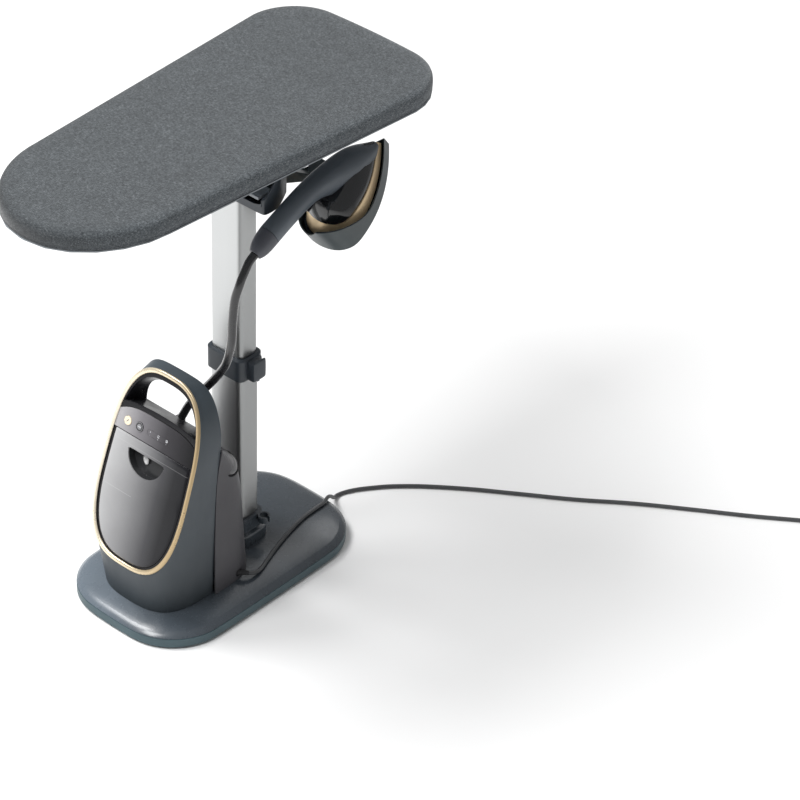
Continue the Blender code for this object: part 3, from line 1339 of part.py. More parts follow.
def band_level(y, side):
    share = min(max(y / IRON_LENGTH, 0.0), 1.0)
    return side * (BAND_HEEL_HALF + (BAND_TIP_HALF - BAND_HEEL_HALF) * share)


def band_ring(outline, side, gap):
    return [(x, y, band_level(y, side) + gap) for x, y in outline]


def body_rings(grow):
    rings = [band_ring(iron_outline(-BAND_LEAN - TRIGGER_SWEEP / 2 + grow, 1, BAND_HEEL_LEAN_SHARE), 1, FIT)]
    shares = zip(BODY_LEVEL_SHARES, BODY_WIDTH_SHARES, BODY_TIP_SHARES, BODY_HEEL_SHARES)
    for level_share, width_share, tip_share, heel_share in shares:
        level = IRON_LENGTH * level_share
        outline = iron_outline(grow, width_share, heel_share, tip_share)
        rings.append([(x, y, max(level, band_level(y, 1) + BAND_TIP_HALF / 2) + grow) for x, y in outline])
    return rings


def stations_of(shares):
    return [(y * IRON_LENGTH, z * IRON_LENGTH, half * IRON_LENGTH, width_share) for y, z, half, width_share in shares]


def handle_rings(stations, drawn=0.0):
    """Oval sections square to the handle's centre line; a station is (y, z, half height, width share)."""
    rings = []
    for index, (y, z, half, width_share) in enumerate(stations):
        ahead = stations[min(index + 1, len(stations) - 1)]
        behind = stations[max(index - 1, 0)]
        run = Vector((0, ahead[0] - behind[0], ahead[1] - behind[1])).normalized()
        rise = Vector((0, -run.z, run.y))
        ring = []
        for k in range(HANDLE_SIDES):
            angle = 2 * math.pi * k / HANDLE_SIDES
            across = (HANDLE_HALF_X * width_share - drawn) * signed_power(math.cos(angle), 0.85)
            up = (half - drawn) * signed_power(math.sin(angle), 0.85)
            ring.append(Vector((across, y, z)) + rise * up)
        rings.append(ring)
    return rings


def build_iron():
    frame = iron_frame()
    sole = loft("soleplate", [
        on_level(iron_outline(-TRIGGER_SWEEP), SOLE_BOTTOM),
        on_level(iron_outline(-TRIGGER_SWEEP / 2), SOLE_BOTTOM + CRADLE_WALL),
        on_level(iron_outline(-TRIGGER_SWEEP / 2), SOLE_TOP)], satin_aluminium())
    place(sole, frame)
    skirt = loft("iron_skirt", [
        on_level(iron_outline(-TRIGGER_SWEEP / 4), SOLE_TOP + FIT),
        band_ring(iron_outline(-TRIGGER_SWEEP / 4), -1, -FIT)], black_gloss())
    place(skirt, frame)
    band = loft("iron_band", [band_ring(iron_outline(), -1, 0),
                              band_ring(iron_outline(-BAND_LEAN, 1, BAND_HEEL_LEAN_SHARE), 1, 0)], gold_metal())
    place(band, frame)
    body = loft("iron_body", body_rings(0.0), black_gloss(), smooth=60)
    place(body, frame)
    space = place(loft("body_space", [band_ring(iron_outline(OVERRUN), -1, 0),
                                    band_ring(iron_outline(OVERRUN), 1, FIT)] + body_rings(FIT), None), frame)
    chain = handle_rings(stations_of(BOOT_STATION_SHARES + HANDLE_STATION_SHARES))
    seam_index = len(BOOT_STATION_SHARES)
    seam = chain[seam_index]
    handle = loft("iron_handle", chain[seam_index:], handle_blue(), smooth=60)
    place(handle, frame)
    cut(handle, space)
    pocket = box("trigger_pocket", (-TRIGGER_WIDTH / 2 - RUN, TRIGGER_Y - TRIGGER_LENGTH - RUN, TRIGGER_Z - TRIGGER_HEIGHT),
                 (TRIGGER_WIDTH / 2 + RUN, TRIGGER_Y + RUN, TRIGGER_Z + TRIGGER_HEIGHT / 2 + TRIGGER_SWEEP), None)
    cut(handle, place(pocket, frame))
    trigger = box("steam_trigger", (-TRIGGER_WIDTH / 2, TRIGGER_Y - TRIGGER_LENGTH, TRIGGER_Z - TRIGGER_HEIGHT / 2),
                  (TRIGGER_WIDTH / 2, TRIGGER_Y, TRIGGER_Z + TRIGGER_HEIGHT / 2), black_plastic())
    bevel(trigger, PIN_RADIUS)
    place(trigger, frame)
    back = (seam[1] - seam[0]).cross(seam[2] - seam[0]).normalized()
    back *= math.copysign(2 * FIT, -back.y)
    boot = loft("iron_boot", chain[:seam_index] + [[point + back for point in seam]],
                black_plastic(), smooth=60)
    place(boot, frame)
    pivot("trigger_axis", frame @ Vector((0, TRIGGER_Y, TRIGGER_Z)), [trigger])
    pivot("iron_axis", frame @ Vector((0, 0, 0)), [sole, skirt, band, body, handle, boot])
    return [sole, skirt, band, body, handle, boot]


def rim_level(x, y):
    """Height of the cradle's wall: low at the tip and left, a tall wing at the heel's right corner."""
    forward = min(max(y / (IRON_LENGTH * CRADLE_WING_LENGTH_SHARE), 0.0), 1.0)
    across = min(max((x / (IRON_WIDTH / 2) + 0.35) / 0.9, 0.0), 1.0)
    wing = (1 - forward * forward * (3 - 2 * forward)) * across * across * (3 - 2 * across)
    return CRADLE_RIM + CRADLE_WING * wing


def build_cradle():
    frame = iron_frame()
    floor = SOLE_BOTTOM - FIT - CRADLE_PAD - FIT
    outer = iron_outline(CRADLE_MARGIN)
    inner = iron_outline(CRADLE_MARGIN - CRADLE_WALL)
    foot = iron_outline(CRADLE_MARGIN - CRADLE_WALL * 2)
    toe = iron_outline(CRADLE_MARGIN - CRADLE_WALL * 3)
    cradle = loft("iron_cradle", [
        on_level(foot, floor - CRADLE_FLOOR), on_level(outer, floor),
        [(x, y, rim_level(x, y)) for x, y in outer], [(x, y, rim_level(x, y)) for x, y in inner],
        on_level(inner, floor + CRADLE_WALL), on_level(toe, floor)], cradle_green(), smooth=50)
    place(cradle, frame)
    start, end = IRON_LENGTH * LUG_START_SHARE, IRON_LENGTH * LUG_END_SHARE
    edge = -(IRON_WIDTH / 2 + CRADLE_MARGIN) * iron_half(LUG_END_SHARE)
    lug = box("cradle_lug", (-LUG_REACH, start, LUG_LOW), (edge + CRADLE_WALL, end, LUG_HIGH), None)
    hollow = prism("lug_trim", iron_outline(CRADLE_MARGIN - CRADLE_WALL / 2), LUG_LOW - OVERRUN,
                   LUG_HIGH + OVERRUN, None)
    cut(lug, place(hollow, frame))
    join(cradle, place(lug, frame))
    pad = prism("cradle_pad", [(-PAD_HALF, IRON_LENGTH * PAD_START_SHARE), (PAD_HALF, IRON_LENGTH * PAD_START_SHARE),
                               (PAD_HALF / 2, IRON_LENGTH * PAD_END_SHARE),
                               (-PAD_HALF / 2, IRON_LENGTH * PAD_END_SHARE)],
                floor + FIT, floor + FIT + CRADLE_PAD, rubber())
    place(pad, frame)
    face = IRON_X - LUG_REACH - FIT
    corners = [frame @ Vector((0, along, level)) for along, level in
               ((start, LUG_LOW), (end, LUG_LOW), (end, LUG_HIGH), (start, LUG_HIGH))]
    root_y = HEAD_BACK_Y + FIT
    outline = [(root_y, HEAD_BOTTOM + HEAD_EDGE), (corners[0].y, corners[0].z), (corners[1].y, corners[1].z),
               (corners[2].y, corners[2].z), (corners[3].y, corners[3].z), (root_y, HEAD_BOTTOM + HEAD_LIP * 2)]
    arm = side_prism("cradle_arm", outline, ARM_INNER, face, cradle_green())
    return [cradle, pad, arm]


# ---- Cords

def smooth_route(points, spacing):
    """Points at an even spacing along a smooth curve through the route's own points."""
    points = [Vector(point) for point in points]
    dense = []
    for index in range(len(points) - 1):
        before = points[max(index - 1, 0)]
        first, second = points[index], points[index + 1]
        after = points[min(index + 2, len(points) - 1)]
        for k in range(16):
            t = k / 16
            dense.append(((2 * first) + (second - before) * t
                          + (2 * before - 5 * first + 4 * second - after) * t * t
                          + (3 * first - before - 3 * second + after) * t ** 3) / 2)
    dense.append(points[-1])
    lengths = [0.0]
    for first, second in zip(dense, dense[1:]):
        lengths.append(lengths[-1] + (second - first).length)
    count = max(round(lengths[-1] / spacing), 2)
    even, cursor = [], 0
    for k in range(count + 1):
        target = lengths[-1] * k / count
        while cursor < len(lengths) - 2 and lengths[cursor + 1] < target:
            cursor += 1
        step = lengths[cursor + 1] - lengths[cursor]
        share = (target - lengths[cursor]) / step if step else 0.0
        even.append(dense[cursor].lerp(dense[cursor + 1], min(max(share, 0.0), 1.0)))
    return even


def wire(name, points, radius, resolution, surface):
    """Round tube along a chain of points, as a closed mesh."""
    curve = bpy.data.curves.new(name + "_path", "CURVE")
    curve.dimensions = "3D"
    curve.bevel_depth = radius
    curve.bevel_resolution = resolution
    curve.use_fill_caps = True
    spline = curve.splines.new("POLY")
    spline.points.add(len(points) - 1)
    for slot, point in zip(spline.points, points):
        slot.co = (*point, 1.0)
    path = bpy.data.objects.new(name + "_path", curve)
    collection(COLLECTION).objects.link(path)
    bpy.context.view_layer.update()
    graph = bpy.context.evaluated_depsgraph_get()
    data = bpy.data.meshes.new_from_object(path.evaluated_get(graph))
    bm = bmesh.new()
    bm.from_mesh(data)
    bpy.data.objects.remove(path, do_unlink=True)
    return finish_mesh(name, bm, surface, smooth=60)


def least_gap(points, radius):
    """Smallest clearance between loops of a wire, away from its own neighbours."""
    skip = COIL_LOOP_POINTS // 3
    least = math.inf
    for index, first in enumerate(points):
        for second in points[index + skip:]:
            least = min(least, (first - second).length - 2 * radius)
    return least


def coil_points():
    """Loops that wind in on the floor, climb a layer in half a turn, and wind out again."""
    heading = Vector((math.cos(COIL_HEADING), math.sin(COIL_HEADING), 0))
    left = Vector((-heading.y, heading.x, 0))
    centre = Vector(COIL_START) + left * COIL_OUTER
    turns = 2 * COIL_WIND_TURNS + COIL_CLIMB_TURNS
    count = round(turns * COIL_LOOP_POINTS)
    points = []
    for k in range(count + 1):
        turn = turns * k / count
        if turn <= COIL_WIND_TURNS:
            drawn, climb = turn / COIL_WIND_TURNS, 0.0
        elif turn <= COIL_WIND_TURNS + COIL_CLIMB_TURNS:
            drawn, climb = 1.0, (turn - COIL_WIND_TURNS) / COIL_CLIMB_TURNS
        else:
            drawn, climb = (turns - turn) / COIL_WIND_TURNS, 1.0
        radius = COIL_OUTER + (COIL_INNER - COIL_OUTER) * drawn
        angle = 2 * math.pi * turn
        spot = centre + (-left * math.cos(angle) + heading * math.sin(angle)) * radius
        spot.z = COIL_START[2] + COIL_LAYER * climb
        points.append(spot)
    return points, heading


def build_cords():
    start = Vector(CORD_START)
    heading = Vector(CORD_DIRECTION).normalized()
    loops, forward = coil_points()
    coil_start = Vector(COIL_START)
    lead = [coil_start - forward * (2 * CORD_RADIUS), coil_start]
    route = [start, start + heading * (2 * CORD_RADIUS)] + [Vector(point) for point in CORD_ROUTE] + lead
    cord = smooth_route(route, CORD_SPACING)
    wire("mains_cord", cord[:1] + [start + heading * (2 * CORD_RADIUS)] + cord[1:-1] + lead, CORD_RADIUS, 2, cord_grey())
    offset = forward * FIT
    tail_start = loops[-1]
    plug_face = tail_start + forward * COIL_TAIL
    plug_face.z = PLUG_HEIGHT / 2
    tail = [tail_start.lerp(plug_face, share) for share in (0.25, 0.5, 0.75)]
    loops = [point + offset for point in [coil_start, coil_start + forward * CORD_RADIUS]] \
        + [point + offset for point in loops[1:]] + tail + [plug_face - forward * (2 * CORD_RADIUS), plug_face]
    wire("cord_coil", loops, CORD_RADIUS, 1, cord_grey())
    print("coil least gap mm", round(1000 * least_gap(loops, CORD_RADIUS), 3))
    turn = Matrix.Translation(plug_face + forward * FIT) @ Matrix.Rotation(COIL_HEADING, 4, "Z")
    plug = box("mains_plug", (0, -PLUG_WIDTH / 2, -PLUG_HEIGHT / 2),
               (PLUG_LENGTH, PLUG_WIDTH / 2, PLUG_HEIGHT / 2), black_plastic())
    bevel(plug, PLUG_HEIGHT / 6)
    place(plug, turn)
    for side in (-1, 1):
        y = side * PLUG_PIN_SPACING / 2
        pin = cylinder("plug_pin_" + str(side + 1), PLUG_PIN_RADIUS, (PLUG_LENGTH - OVERRUN, y, 0),
                       (PLUG_LENGTH + PLUG_PIN_LENGTH, y, 0), None, sides=12)
        join(plug, place(pin, turn))

    frame = iron_frame()
    tail_end, before = stations_of(BOOT_STATION_SHARES)[:2]
    run = (frame.to_3x3() @ Vector((0, tail_end[0] - before[0], tail_end[1] - before[1]))).normalized()
    hose_start = frame @ Vector((0, tail_end[0], tail_end[1])) + run * FIT
    mouth, out = gland_mouth()
    hose_end = mouth + out * FIT
    straight = hose_start + run * HOSE_END_STRAIGHT
    landing = hose_end + out * HOSE_END_STRAIGHT
    hose = smooth_route([straight] + [Vector(point) for point in HOSE_ROUTE] + [landing], HOSE_SPACING)
    wire("steam_hose", [hose_start] + hose + [hose_end], HOSE_RADIUS, 2, black_plastic())


def main():
    clear_scene()
    dome = dome_cutter()
    build_base()
    column = build_column(dome)
    build_front_housing(dome)
    rear = build_rear_housing(dome)
    build_ring()
    build_liner()
    build_panel()
    build_tank()
    build_services(dome, rear)
    head = build_head()
    build_board()
    build_iron()
    cradle = build_cradle()
    build_cords()
    pivot("column_axis", (0, COLUMN_Y, OUTER_TOP), column + head + cradle)


main()
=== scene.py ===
import json
import math

import bmesh
import bpy
from mathutils import Matrix, Vector
from mathutils.bvhtree import BVHTree
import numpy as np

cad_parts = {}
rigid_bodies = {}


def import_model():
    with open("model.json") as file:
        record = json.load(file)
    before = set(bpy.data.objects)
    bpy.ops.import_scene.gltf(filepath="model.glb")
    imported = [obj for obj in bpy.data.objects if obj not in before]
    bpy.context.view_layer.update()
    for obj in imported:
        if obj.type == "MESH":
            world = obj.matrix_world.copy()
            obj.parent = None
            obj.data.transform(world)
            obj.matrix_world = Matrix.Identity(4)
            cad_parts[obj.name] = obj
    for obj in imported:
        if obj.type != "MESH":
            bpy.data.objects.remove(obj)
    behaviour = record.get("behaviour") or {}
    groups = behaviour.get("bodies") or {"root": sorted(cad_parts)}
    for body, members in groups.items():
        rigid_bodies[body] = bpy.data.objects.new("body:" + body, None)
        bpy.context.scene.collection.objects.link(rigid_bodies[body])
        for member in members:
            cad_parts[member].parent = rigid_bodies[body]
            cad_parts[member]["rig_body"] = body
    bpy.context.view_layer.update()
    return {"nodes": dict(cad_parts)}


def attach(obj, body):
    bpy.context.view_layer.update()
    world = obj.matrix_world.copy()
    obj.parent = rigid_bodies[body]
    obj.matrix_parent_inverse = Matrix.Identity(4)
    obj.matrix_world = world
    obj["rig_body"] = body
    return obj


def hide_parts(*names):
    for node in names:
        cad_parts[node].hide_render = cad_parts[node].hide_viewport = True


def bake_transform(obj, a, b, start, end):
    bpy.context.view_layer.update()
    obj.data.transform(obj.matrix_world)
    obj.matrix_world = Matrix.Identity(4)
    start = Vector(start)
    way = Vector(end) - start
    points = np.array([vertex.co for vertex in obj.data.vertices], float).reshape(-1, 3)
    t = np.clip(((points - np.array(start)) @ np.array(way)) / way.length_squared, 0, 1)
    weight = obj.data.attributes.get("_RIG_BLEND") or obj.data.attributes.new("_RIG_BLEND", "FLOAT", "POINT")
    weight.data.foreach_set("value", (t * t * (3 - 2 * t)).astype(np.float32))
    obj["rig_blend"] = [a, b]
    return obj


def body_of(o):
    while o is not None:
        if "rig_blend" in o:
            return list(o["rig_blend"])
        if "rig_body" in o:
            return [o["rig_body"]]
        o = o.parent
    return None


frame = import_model()
NODES = frame["nodes"]


# ---- Frames that several pieces share: x across, y up the slope, z out of it

FACE_ORIGIN, FACE_LEAN = (0, -0.12975, 0.331), math.radians(70)
FACE = Matrix.Translation(FACE_ORIGIN) @ Matrix.Rotation(FACE_LEAN, 4, "X")
IRON_ORIGIN, IRON_PITCH = (0.125, 0.131, 0.688), math.radians(36.7)
IRON_FRAME = Matrix.Translation(IRON_ORIGIN) @ Matrix.Rotation(IRON_PITCH, 4, "X")


# ---- Small sums

def around(count):
    """Evenly spaced angles round a full turn."""
    return [2 * math.pi * k / count for k in range(count)]


def table(rows, place):
    """A value read between the rows of a table."""
    for (first, low), (second, high) in zip(rows, rows[1:]):
        if place <= second:
            return low + (high - low) * max((place - first) / (second - first), 0.0)
    return rows[-1][1]


def signed_power(value, power):
    return math.copysign(abs(value) ** power, value)


# ---- Node graphs

def graph(name, base, roughness, metallic=0.0, **sockets):
    material = bpy.data.materials.new(name)
    material.use_nodes = True
    tree = material.node_tree
    shader = tree.nodes["Principled BSDF"]
    shader.inputs["Base Color"].default_value = (*base, 1.0)
    shader.inputs["Roughness"].default_value = roughness
    shader.inputs["Metallic"].default_value = metallic
    for key, value in sockets.items():
        shader.inputs[key.replace("_", " ")].default_value = value
    material.diffuse_color = (*base, 1.0)
    return material, tree, shader


def node(tree, kind, **inputs):
    made = tree.nodes.new(kind)
    for key, value in inputs.items():
        if hasattr(made, key):
            setattr(made, key, value)
        else:
            made.inputs[key.replace("_", " ")].default_value = value
    return made


def coords(tree, scale=(1.0, 1.0, 1.0)):
    place = node(tree, "ShaderNodeTexCoord")
    mapping = node(tree, "ShaderNodeMapping", Scale=scale)
    tree.links.new(place.outputs["Object"], mapping.inputs["Vector"])
    return mapping.outputs["Vector"]


def noise(tree, vector, scale, detail=2.0, roughness=0.5):
    made = node(tree, "ShaderNodeTexNoise", Scale=scale, Detail=detail, Roughness=roughness)
    tree.links.new(vector, made.inputs["Vector"])
    return made.outputs["Fac"]


def ramp(tree, fac, *stops):
    made = tree.nodes.new("ShaderNodeValToRGB")
    elements = made.color_ramp.elements
    while len(elements) < len(stops):
        elements.new(0.5)
    for element, (place, color) in zip(elements, stops):
        element.position = place
        color = color if isinstance(color, tuple) else (color, color, color)
        element.color = (*color, 1.0)
    tree.links.new(fac, made.inputs["Fac"])
    return made.outputs["Color"]


def maths(tree, operation, first, second):
    made = node(tree, "ShaderNodeMath", operation=operation)
    for slot, value in zip(made.inputs, (first, second)):
        if isinstance(value, (int, float)):
            slot.default_value = value
        else:
            tree.links.new(value, slot)
    return made.outputs[0]


def mix(tree, fac, first, second, blend="MIX"):
    made = node(tree, "ShaderNodeMix", data_type="RGBA", blend_type=blend)
    for slot, value in ((made.inputs[0], fac), (made.inputs[6], first), (made.inputs[7], second)):
        if isinstance(value, (int, float)):
            slot.default_value = value
        elif isinstance(value, tuple):
            slot.default_value = (*value, 1.0)
        else:
            tree.links.new(value, slot)
    return made.outputs[2]


def tint(tree, tone, shade):
    return mix(tree, 1.0, tone, shade, "MULTIPLY")


def bump(tree, shader, height, distance, strength):
    made = node(tree, "ShaderNodeBump", Strength=strength, Distance=distance)
    tree.links.new(height, made.inputs["Height"])
    tree.links.new(made.outputs["Normal"], shader.inputs["Normal"])


def spread(tree, value, low, high):
    """0 to 1 between two values."""
    made = node(tree, "ShaderNodeMapRange", From_Min=low, From_Max=high)
    tree.links.new(value, made.inputs["Value"])
    return made.outputs["Result"]


def reading(tree, output, way):
    """How far the place, or the surface's own direction, goes along a direction."""
    place = node(tree, "ShaderNodeTexCoord")
    made = node(tree, "ShaderNodeVectorMath", operation="DOT_PRODUCT")
    tree.links.new(place.outputs[output], made.inputs[0])
    made.inputs[1].default_value = way
    return made.outputs["Value"]


def lean(tree, output, way, low, high):
    """0 to 1 along any direction, of the place or of the surface's own direction."""
    return spread(tree, reading(tree, output, way), low, high)


def face_axis(tree, axis):
    """Place along one axis of the leaning front face: 1 up the face, 2 out of it."""
    way = FACE.to_3x3().col[axis]
    return maths(tree, "SUBTRACT", reading(tree, "Object", way), way.dot(FACE.translation))


def band(tree, value, centre, half):
    """1 within half of the centre, else 0."""
    apart = maths(tree, "ABSOLUTE", maths(tree, "SUBTRACT", value, centre), 0.0)
    return maths(tree, "LESS_THAN", apart, half)


def darker_lighter(base, vary):
    return (tuple(channel * (1 - vary) for channel in base),
            tuple(min(channel * (1 + vary), 1.0) for channel in base))


def between(tree, fac, span, values):
    """From one value to another over a part of 0 to 1."""
    return ramp(tree, fac, *zip(span, values))


# ---- Materials: noises are (scale, detail, roughness), depths and places in metres

ACROSS, UP = (1.0, 0.0, 0.0), (0.0, 0.0, 1.0)
SOFT_SPAN, WIDE_SPAN, FIRM_SPAN = (0.3, 0.7), (0.25, 0.75), (0.35, 0.65)
PLASTIC_CLOUD, PLASTIC_SMEAR, PLASTIC_DRAW = (18.0, 4.0, 0.6), (42.0, 5.0, 0.6), (1.0, 1.0, 0.35)
PLASTIC_GLOSS_VARY, PLASTIC_BUMP, SPARK = 0.06, 0.6, 2600.0
FAINT, FINE, SOFT_GRAIN, GRAIN, COARSE = 0.000005, 0.000008, 0.00001, 0.00002, 0.00004


def plastic(name, base, roughness, grain=SPARK, depth=GRAIN, vary=0.10, painted_light=None, **sockets):
    """Moulded plastic: fine spark grain, a faint cloud in its colour, and smears in its gloss, with painted
    light and shade from a given ramp.
    """
    material, tree, shader = graph(name, base, roughness, **sockets)
    vector = coords(tree)
    tone = between(tree, noise(tree, vector, *PLASTIC_CLOUD), SOFT_SPAN, darker_lighter(base, vary))
    # Painted light and shade: the colour is multiplied by a ramp along a given direction.
    if painted_light:
        way, low, high, stops = painted_light
        tone = tint(tree, tone, ramp(tree, lean(tree, "Object", way, low, high), *stops))
    tree.links.new(tone, shader.inputs["Base Color"])
    smear = noise(tree, coords(tree, PLASTIC_DRAW), *PLASTIC_SMEAR)
    gloss = between(tree, smear, WIDE_SPAN, (roughness - PLASTIC_GLOSS_VARY, roughness + PLASTIC_GLOSS_VARY))
    tree.links.new(gloss, shader.inputs["Roughness"])
    bump(tree, shader, noise(tree, vector, grain), depth, PLASTIC_BUMP)
    return material


# Painted shade: the housing darkens towards its foot, to half its colour at the bottom.
FOOT_PAINTED_SHADE = (UP, 0.04, 0.20, ((0.0, 0.50), (0.45, 0.72), (1.0, 1.0)))
# Painted light: the base's top is lightest at the left front and darkens to a third towards the right back.
BASE_PAINTED_LIGHT = ((0.719, 0.695, 0.0), -0.23, 0.20, ((0.0, 1.0), (0.14, 0.84), (0.30, 0.47), (1.0, 0.33)))
# Painted highlight: the handle is up to 1.7 times lighter low down, below 0.82 m.
HANDLE_PAINTED_HIGHLIGHT = (UP, 0.70, 0.82, ((0.0, 1.7), (1.0, 1.0)))

HOUSING = plastic("housing", (0.055, 0.070, 0.083), 0.42, depth=SOFT_GRAIN, vary=0.05, painted_light=FOOT_PAINTED_SHADE)
REAR = plastic("rear_shell", (0.056, 0.054, 0.061), 0.42, depth=SOFT_GRAIN, vary=0.05)
BASE_TOP = plastic("base_top", (0.130, 0.159, 0.190), 0.27, depth=FINE, vary=0.05, painted_light=BASE_PAINTED_LIGHT,
                   Coat_Weight=0.35, Coat_Roughness=0.22)
TRAY = plastic("tray", (0.045, 0.085, 0.100), 0.42)
BLACK = plastic("black_satin", (0.010, 0.010, 0.012), 0.30, depth=FAINT, Specular_IOR_Level=0.25)
DARK = plastic("dark_blue", (0.036, 0.045, 0.056), 0.38, depth=SOFT_GRAIN, vary=0.06)
HANDLE = plastic("handle", (0.070, 0.083, 0.098), 0.42, depth=FINE, vary=0.05, painted_light=HANDLE_PAINTED_HIGHLIGHT)
CRADLE = plastic("cradle", (0.044, 0.058, 0.062), 0.40, depth=FINE, vary=0.06)
GLOSS = plastic("black_gloss", (0.010, 0.011, 0.013), 0.14, grain=600.0, depth=0.000004,
                Coat_Weight=0.5, Coat_Roughness=0.05)
CAP = plastic("cap_grey", (0.150, 0.150, 0.155), 0.38)
PADDLE = plastic("paddle_grey", (0.26, 0.28, 0.30), 0.42)
RUBBER = plastic("rubber", (0.018, 0.018, 0.020), 0.75, grain=900.0, depth=0.00006)
STRIP = plastic("strip", (0.030, 0.030, 0.034), 0.2, depth=0.000004)
MARK = plastic("mark_white", (0.55, 0.56, 0.58), 0.5)
FRAME = plastic("painted_steel", (0.20, 0.22, 0.24), 0.5, grain=1200.0, depth=COARSE)

METAL_LINES, METAL_CLOUD, METAL_CLOUD_SHARE = (700.0, 5.0, 0.65), (9.0, 3.0, 0.5), 0.35
METAL_GLOSS_VARY, METAL_BUMP = 0.02, 0.5


def brushed(name, base, roughness, stretch, vary=0.06, depth=SOFT_GRAIN, metallic=1.0, painted_light=None):
    """Metal whose colour and gloss vary along the way it was drawn, with painted light and shade from a given
    ramp.
    """
    material, tree, shader = graph(name, base, roughness, metallic)
    lines = noise(tree, coords(tree, stretch), *METAL_LINES)
    cloud = noise(tree, coords(tree), *METAL_CLOUD)
    tones = darker_lighter(base, vary)
    tone = mix(tree, METAL_CLOUD_SHARE, between(tree, lines, SOFT_SPAN, tones),
               between(tree, cloud, SOFT_SPAN, tones))
    # Painted light and shade: the colour is multiplied by a ramp along a given direction.
    if painted_light:
        output, way, low, high, stops = painted_light
        tone = tint(tree, tone, ramp(tree, lean(tree, output, way, low, high), *stops))
    tree.links.new(tone, shader.inputs["Base Color"])
    gloss = between(tree, lines, WIDE_SPAN, (roughness - METAL_GLOSS_VARY, roughness + METAL_GLOSS_VARY))
    tree.links.new(gloss, shader.inputs["Roughness"])
    if depth:
        bump(tree, shader, lines, depth, METAL_BUMP)
    return material


SMOOTH_DRAW = (0.03, 0.03, 0.03)
# Painted shade: faces of the tubes turned towards +x are darker, down to half their colour.
TUBE_PAINTED_SHADE = ("Normal", ACROSS, 0.0, 1.0, ((0.0, 1.0), (0.30, 0.90), (0.60, 0.50), (0.85, 0.60), (1.0, 0.70)))
# Painted light: the gold is near white at the left and tan at the right.
RING_PAINTED_LIGHT = ("Object", ACROSS, -0.10, 0.09,
             ((0.0, (1.0, 1.0, 1.0)), (0.35, (0.97, 0.93, 0.84)), (1.0, (0.50, 0.41, 0.28))))

ALUMINIUM = brushed("aluminium", (0.56, 0.57, 0.57), 0.36, (1.0, 1.0, 0.004), 0.02, 0.0000002, painted_light=TUBE_PAINTED_SHADE)
STEEL = brushed("steel", (0.62, 0.62, 0.63), 0.30, (0.03, 1.0, 1.0))
GOLD = brushed("gold", (0.97, 0.88, 0.72), 0.28, SMOOTH_DRAW, 0.02, 0, metallic=0.60, painted_light=RING_PAINTED_LIGHT)
BAND = brushed("band_gold", (0.90, 0.69, 0.43), 0.36, SMOOTH_DRAW, 0.02, 0, metallic=0.45)
BOOT = plastic("boot", (0.072, 0.076, 0.092), 0.42, depth=SOFT_GRAIN, vary=0.06)

YARN_ACROSS, YARN_ACROSS_DRAW = (620.0, 3.0, 0.7), (1.0, 0.32, 1.0)
YARN_DOWN, YARN_DOWN_DRAW = (560.0, 3.0, 0.7), (0.32, 1.0, 1.0)
YARN_TONES = ((0.37, (0.020, 0.024, 0.028)), (0.48, (0.052, 0.061, 0.068)),
              (0.56, (0.092, 0.104, 0.113)), (0.66, (0.190, 0.205, 0.216)))
CLOTH_CLOUD, CLOTH_CLOUD_SHADES = (30.0, 4.0, 0.6), (0.90, 1.08)
# Painted light and shade on the cloth: a facing direction with its span, and the shades along it.
CLOTH_FACING, CLOTH_PAINTED_SIDE_LIGHT = ((1.0, 0.9, 0.0), -0.9, 1.0), ((0.0, 0.42), (0.47, 0.81), (1.0, 1.50))
WEAVE, WEAVE_SHARE, WEAVE_DEPTH, WEAVE_BUMP = {"Scale": 330.0, "Distortion": 1.2}, 0.6, 0.0004, 0.7


def heather():
    """Two-tone woven cloth: dark and light yarns by patches, over a plain weave, with painted light and shade
    by the way each face turns.
    """
    material, tree, shader = graph("board_cloth", (0.10, 0.12, 0.14), 0.92, Sheen_Weight=0.25,
                                   Sheen_Roughness=0.5)
    across = noise(tree, coords(tree, YARN_ACROSS_DRAW), *YARN_ACROSS)
    down = noise(tree, coords(tree, YARN_DOWN_DRAW), *YARN_DOWN)
    specks = maths(tree, "ADD", maths(tree, "MULTIPLY", across, 0.5), maths(tree, "MULTIPLY", down, 0.5))
    shade = between(tree, noise(tree, coords(tree), *CLOTH_CLOUD), SOFT_SPAN, CLOTH_CLOUD_SHADES)
    tone = tint(tree, ramp(tree, specks, *YARN_TONES), shade)
    # Painted light and shade: faces turned towards +x and +y are lighter, faces towards -x and -y darker.
    side = ramp(tree, lean(tree, "Normal", *CLOTH_FACING), *CLOTH_PAINTED_SIDE_LIGHT)
    tree.links.new(tint(tree, tone, side), shader.inputs["Base Color"])
    warp = node(tree, "ShaderNodeTexWave", **WEAVE)
    weft = node(tree, "ShaderNodeTexWave", bands_direction="Y", **WEAVE)
    for wave in (warp, weft):
        tree.links.new(coords(tree), wave.inputs["Vector"])
    weave = maths(tree, "MULTIPLY", warp.outputs["Fac"], weft.outputs["Fac"])
    height = maths(tree, "ADD", maths(tree, "MULTIPLY", weave, WEAVE_SHARE), specks)
    bump(tree, shader, height, WEAVE_DEPTH, WEAVE_BUMP)
    return material


CLOTH = heather()

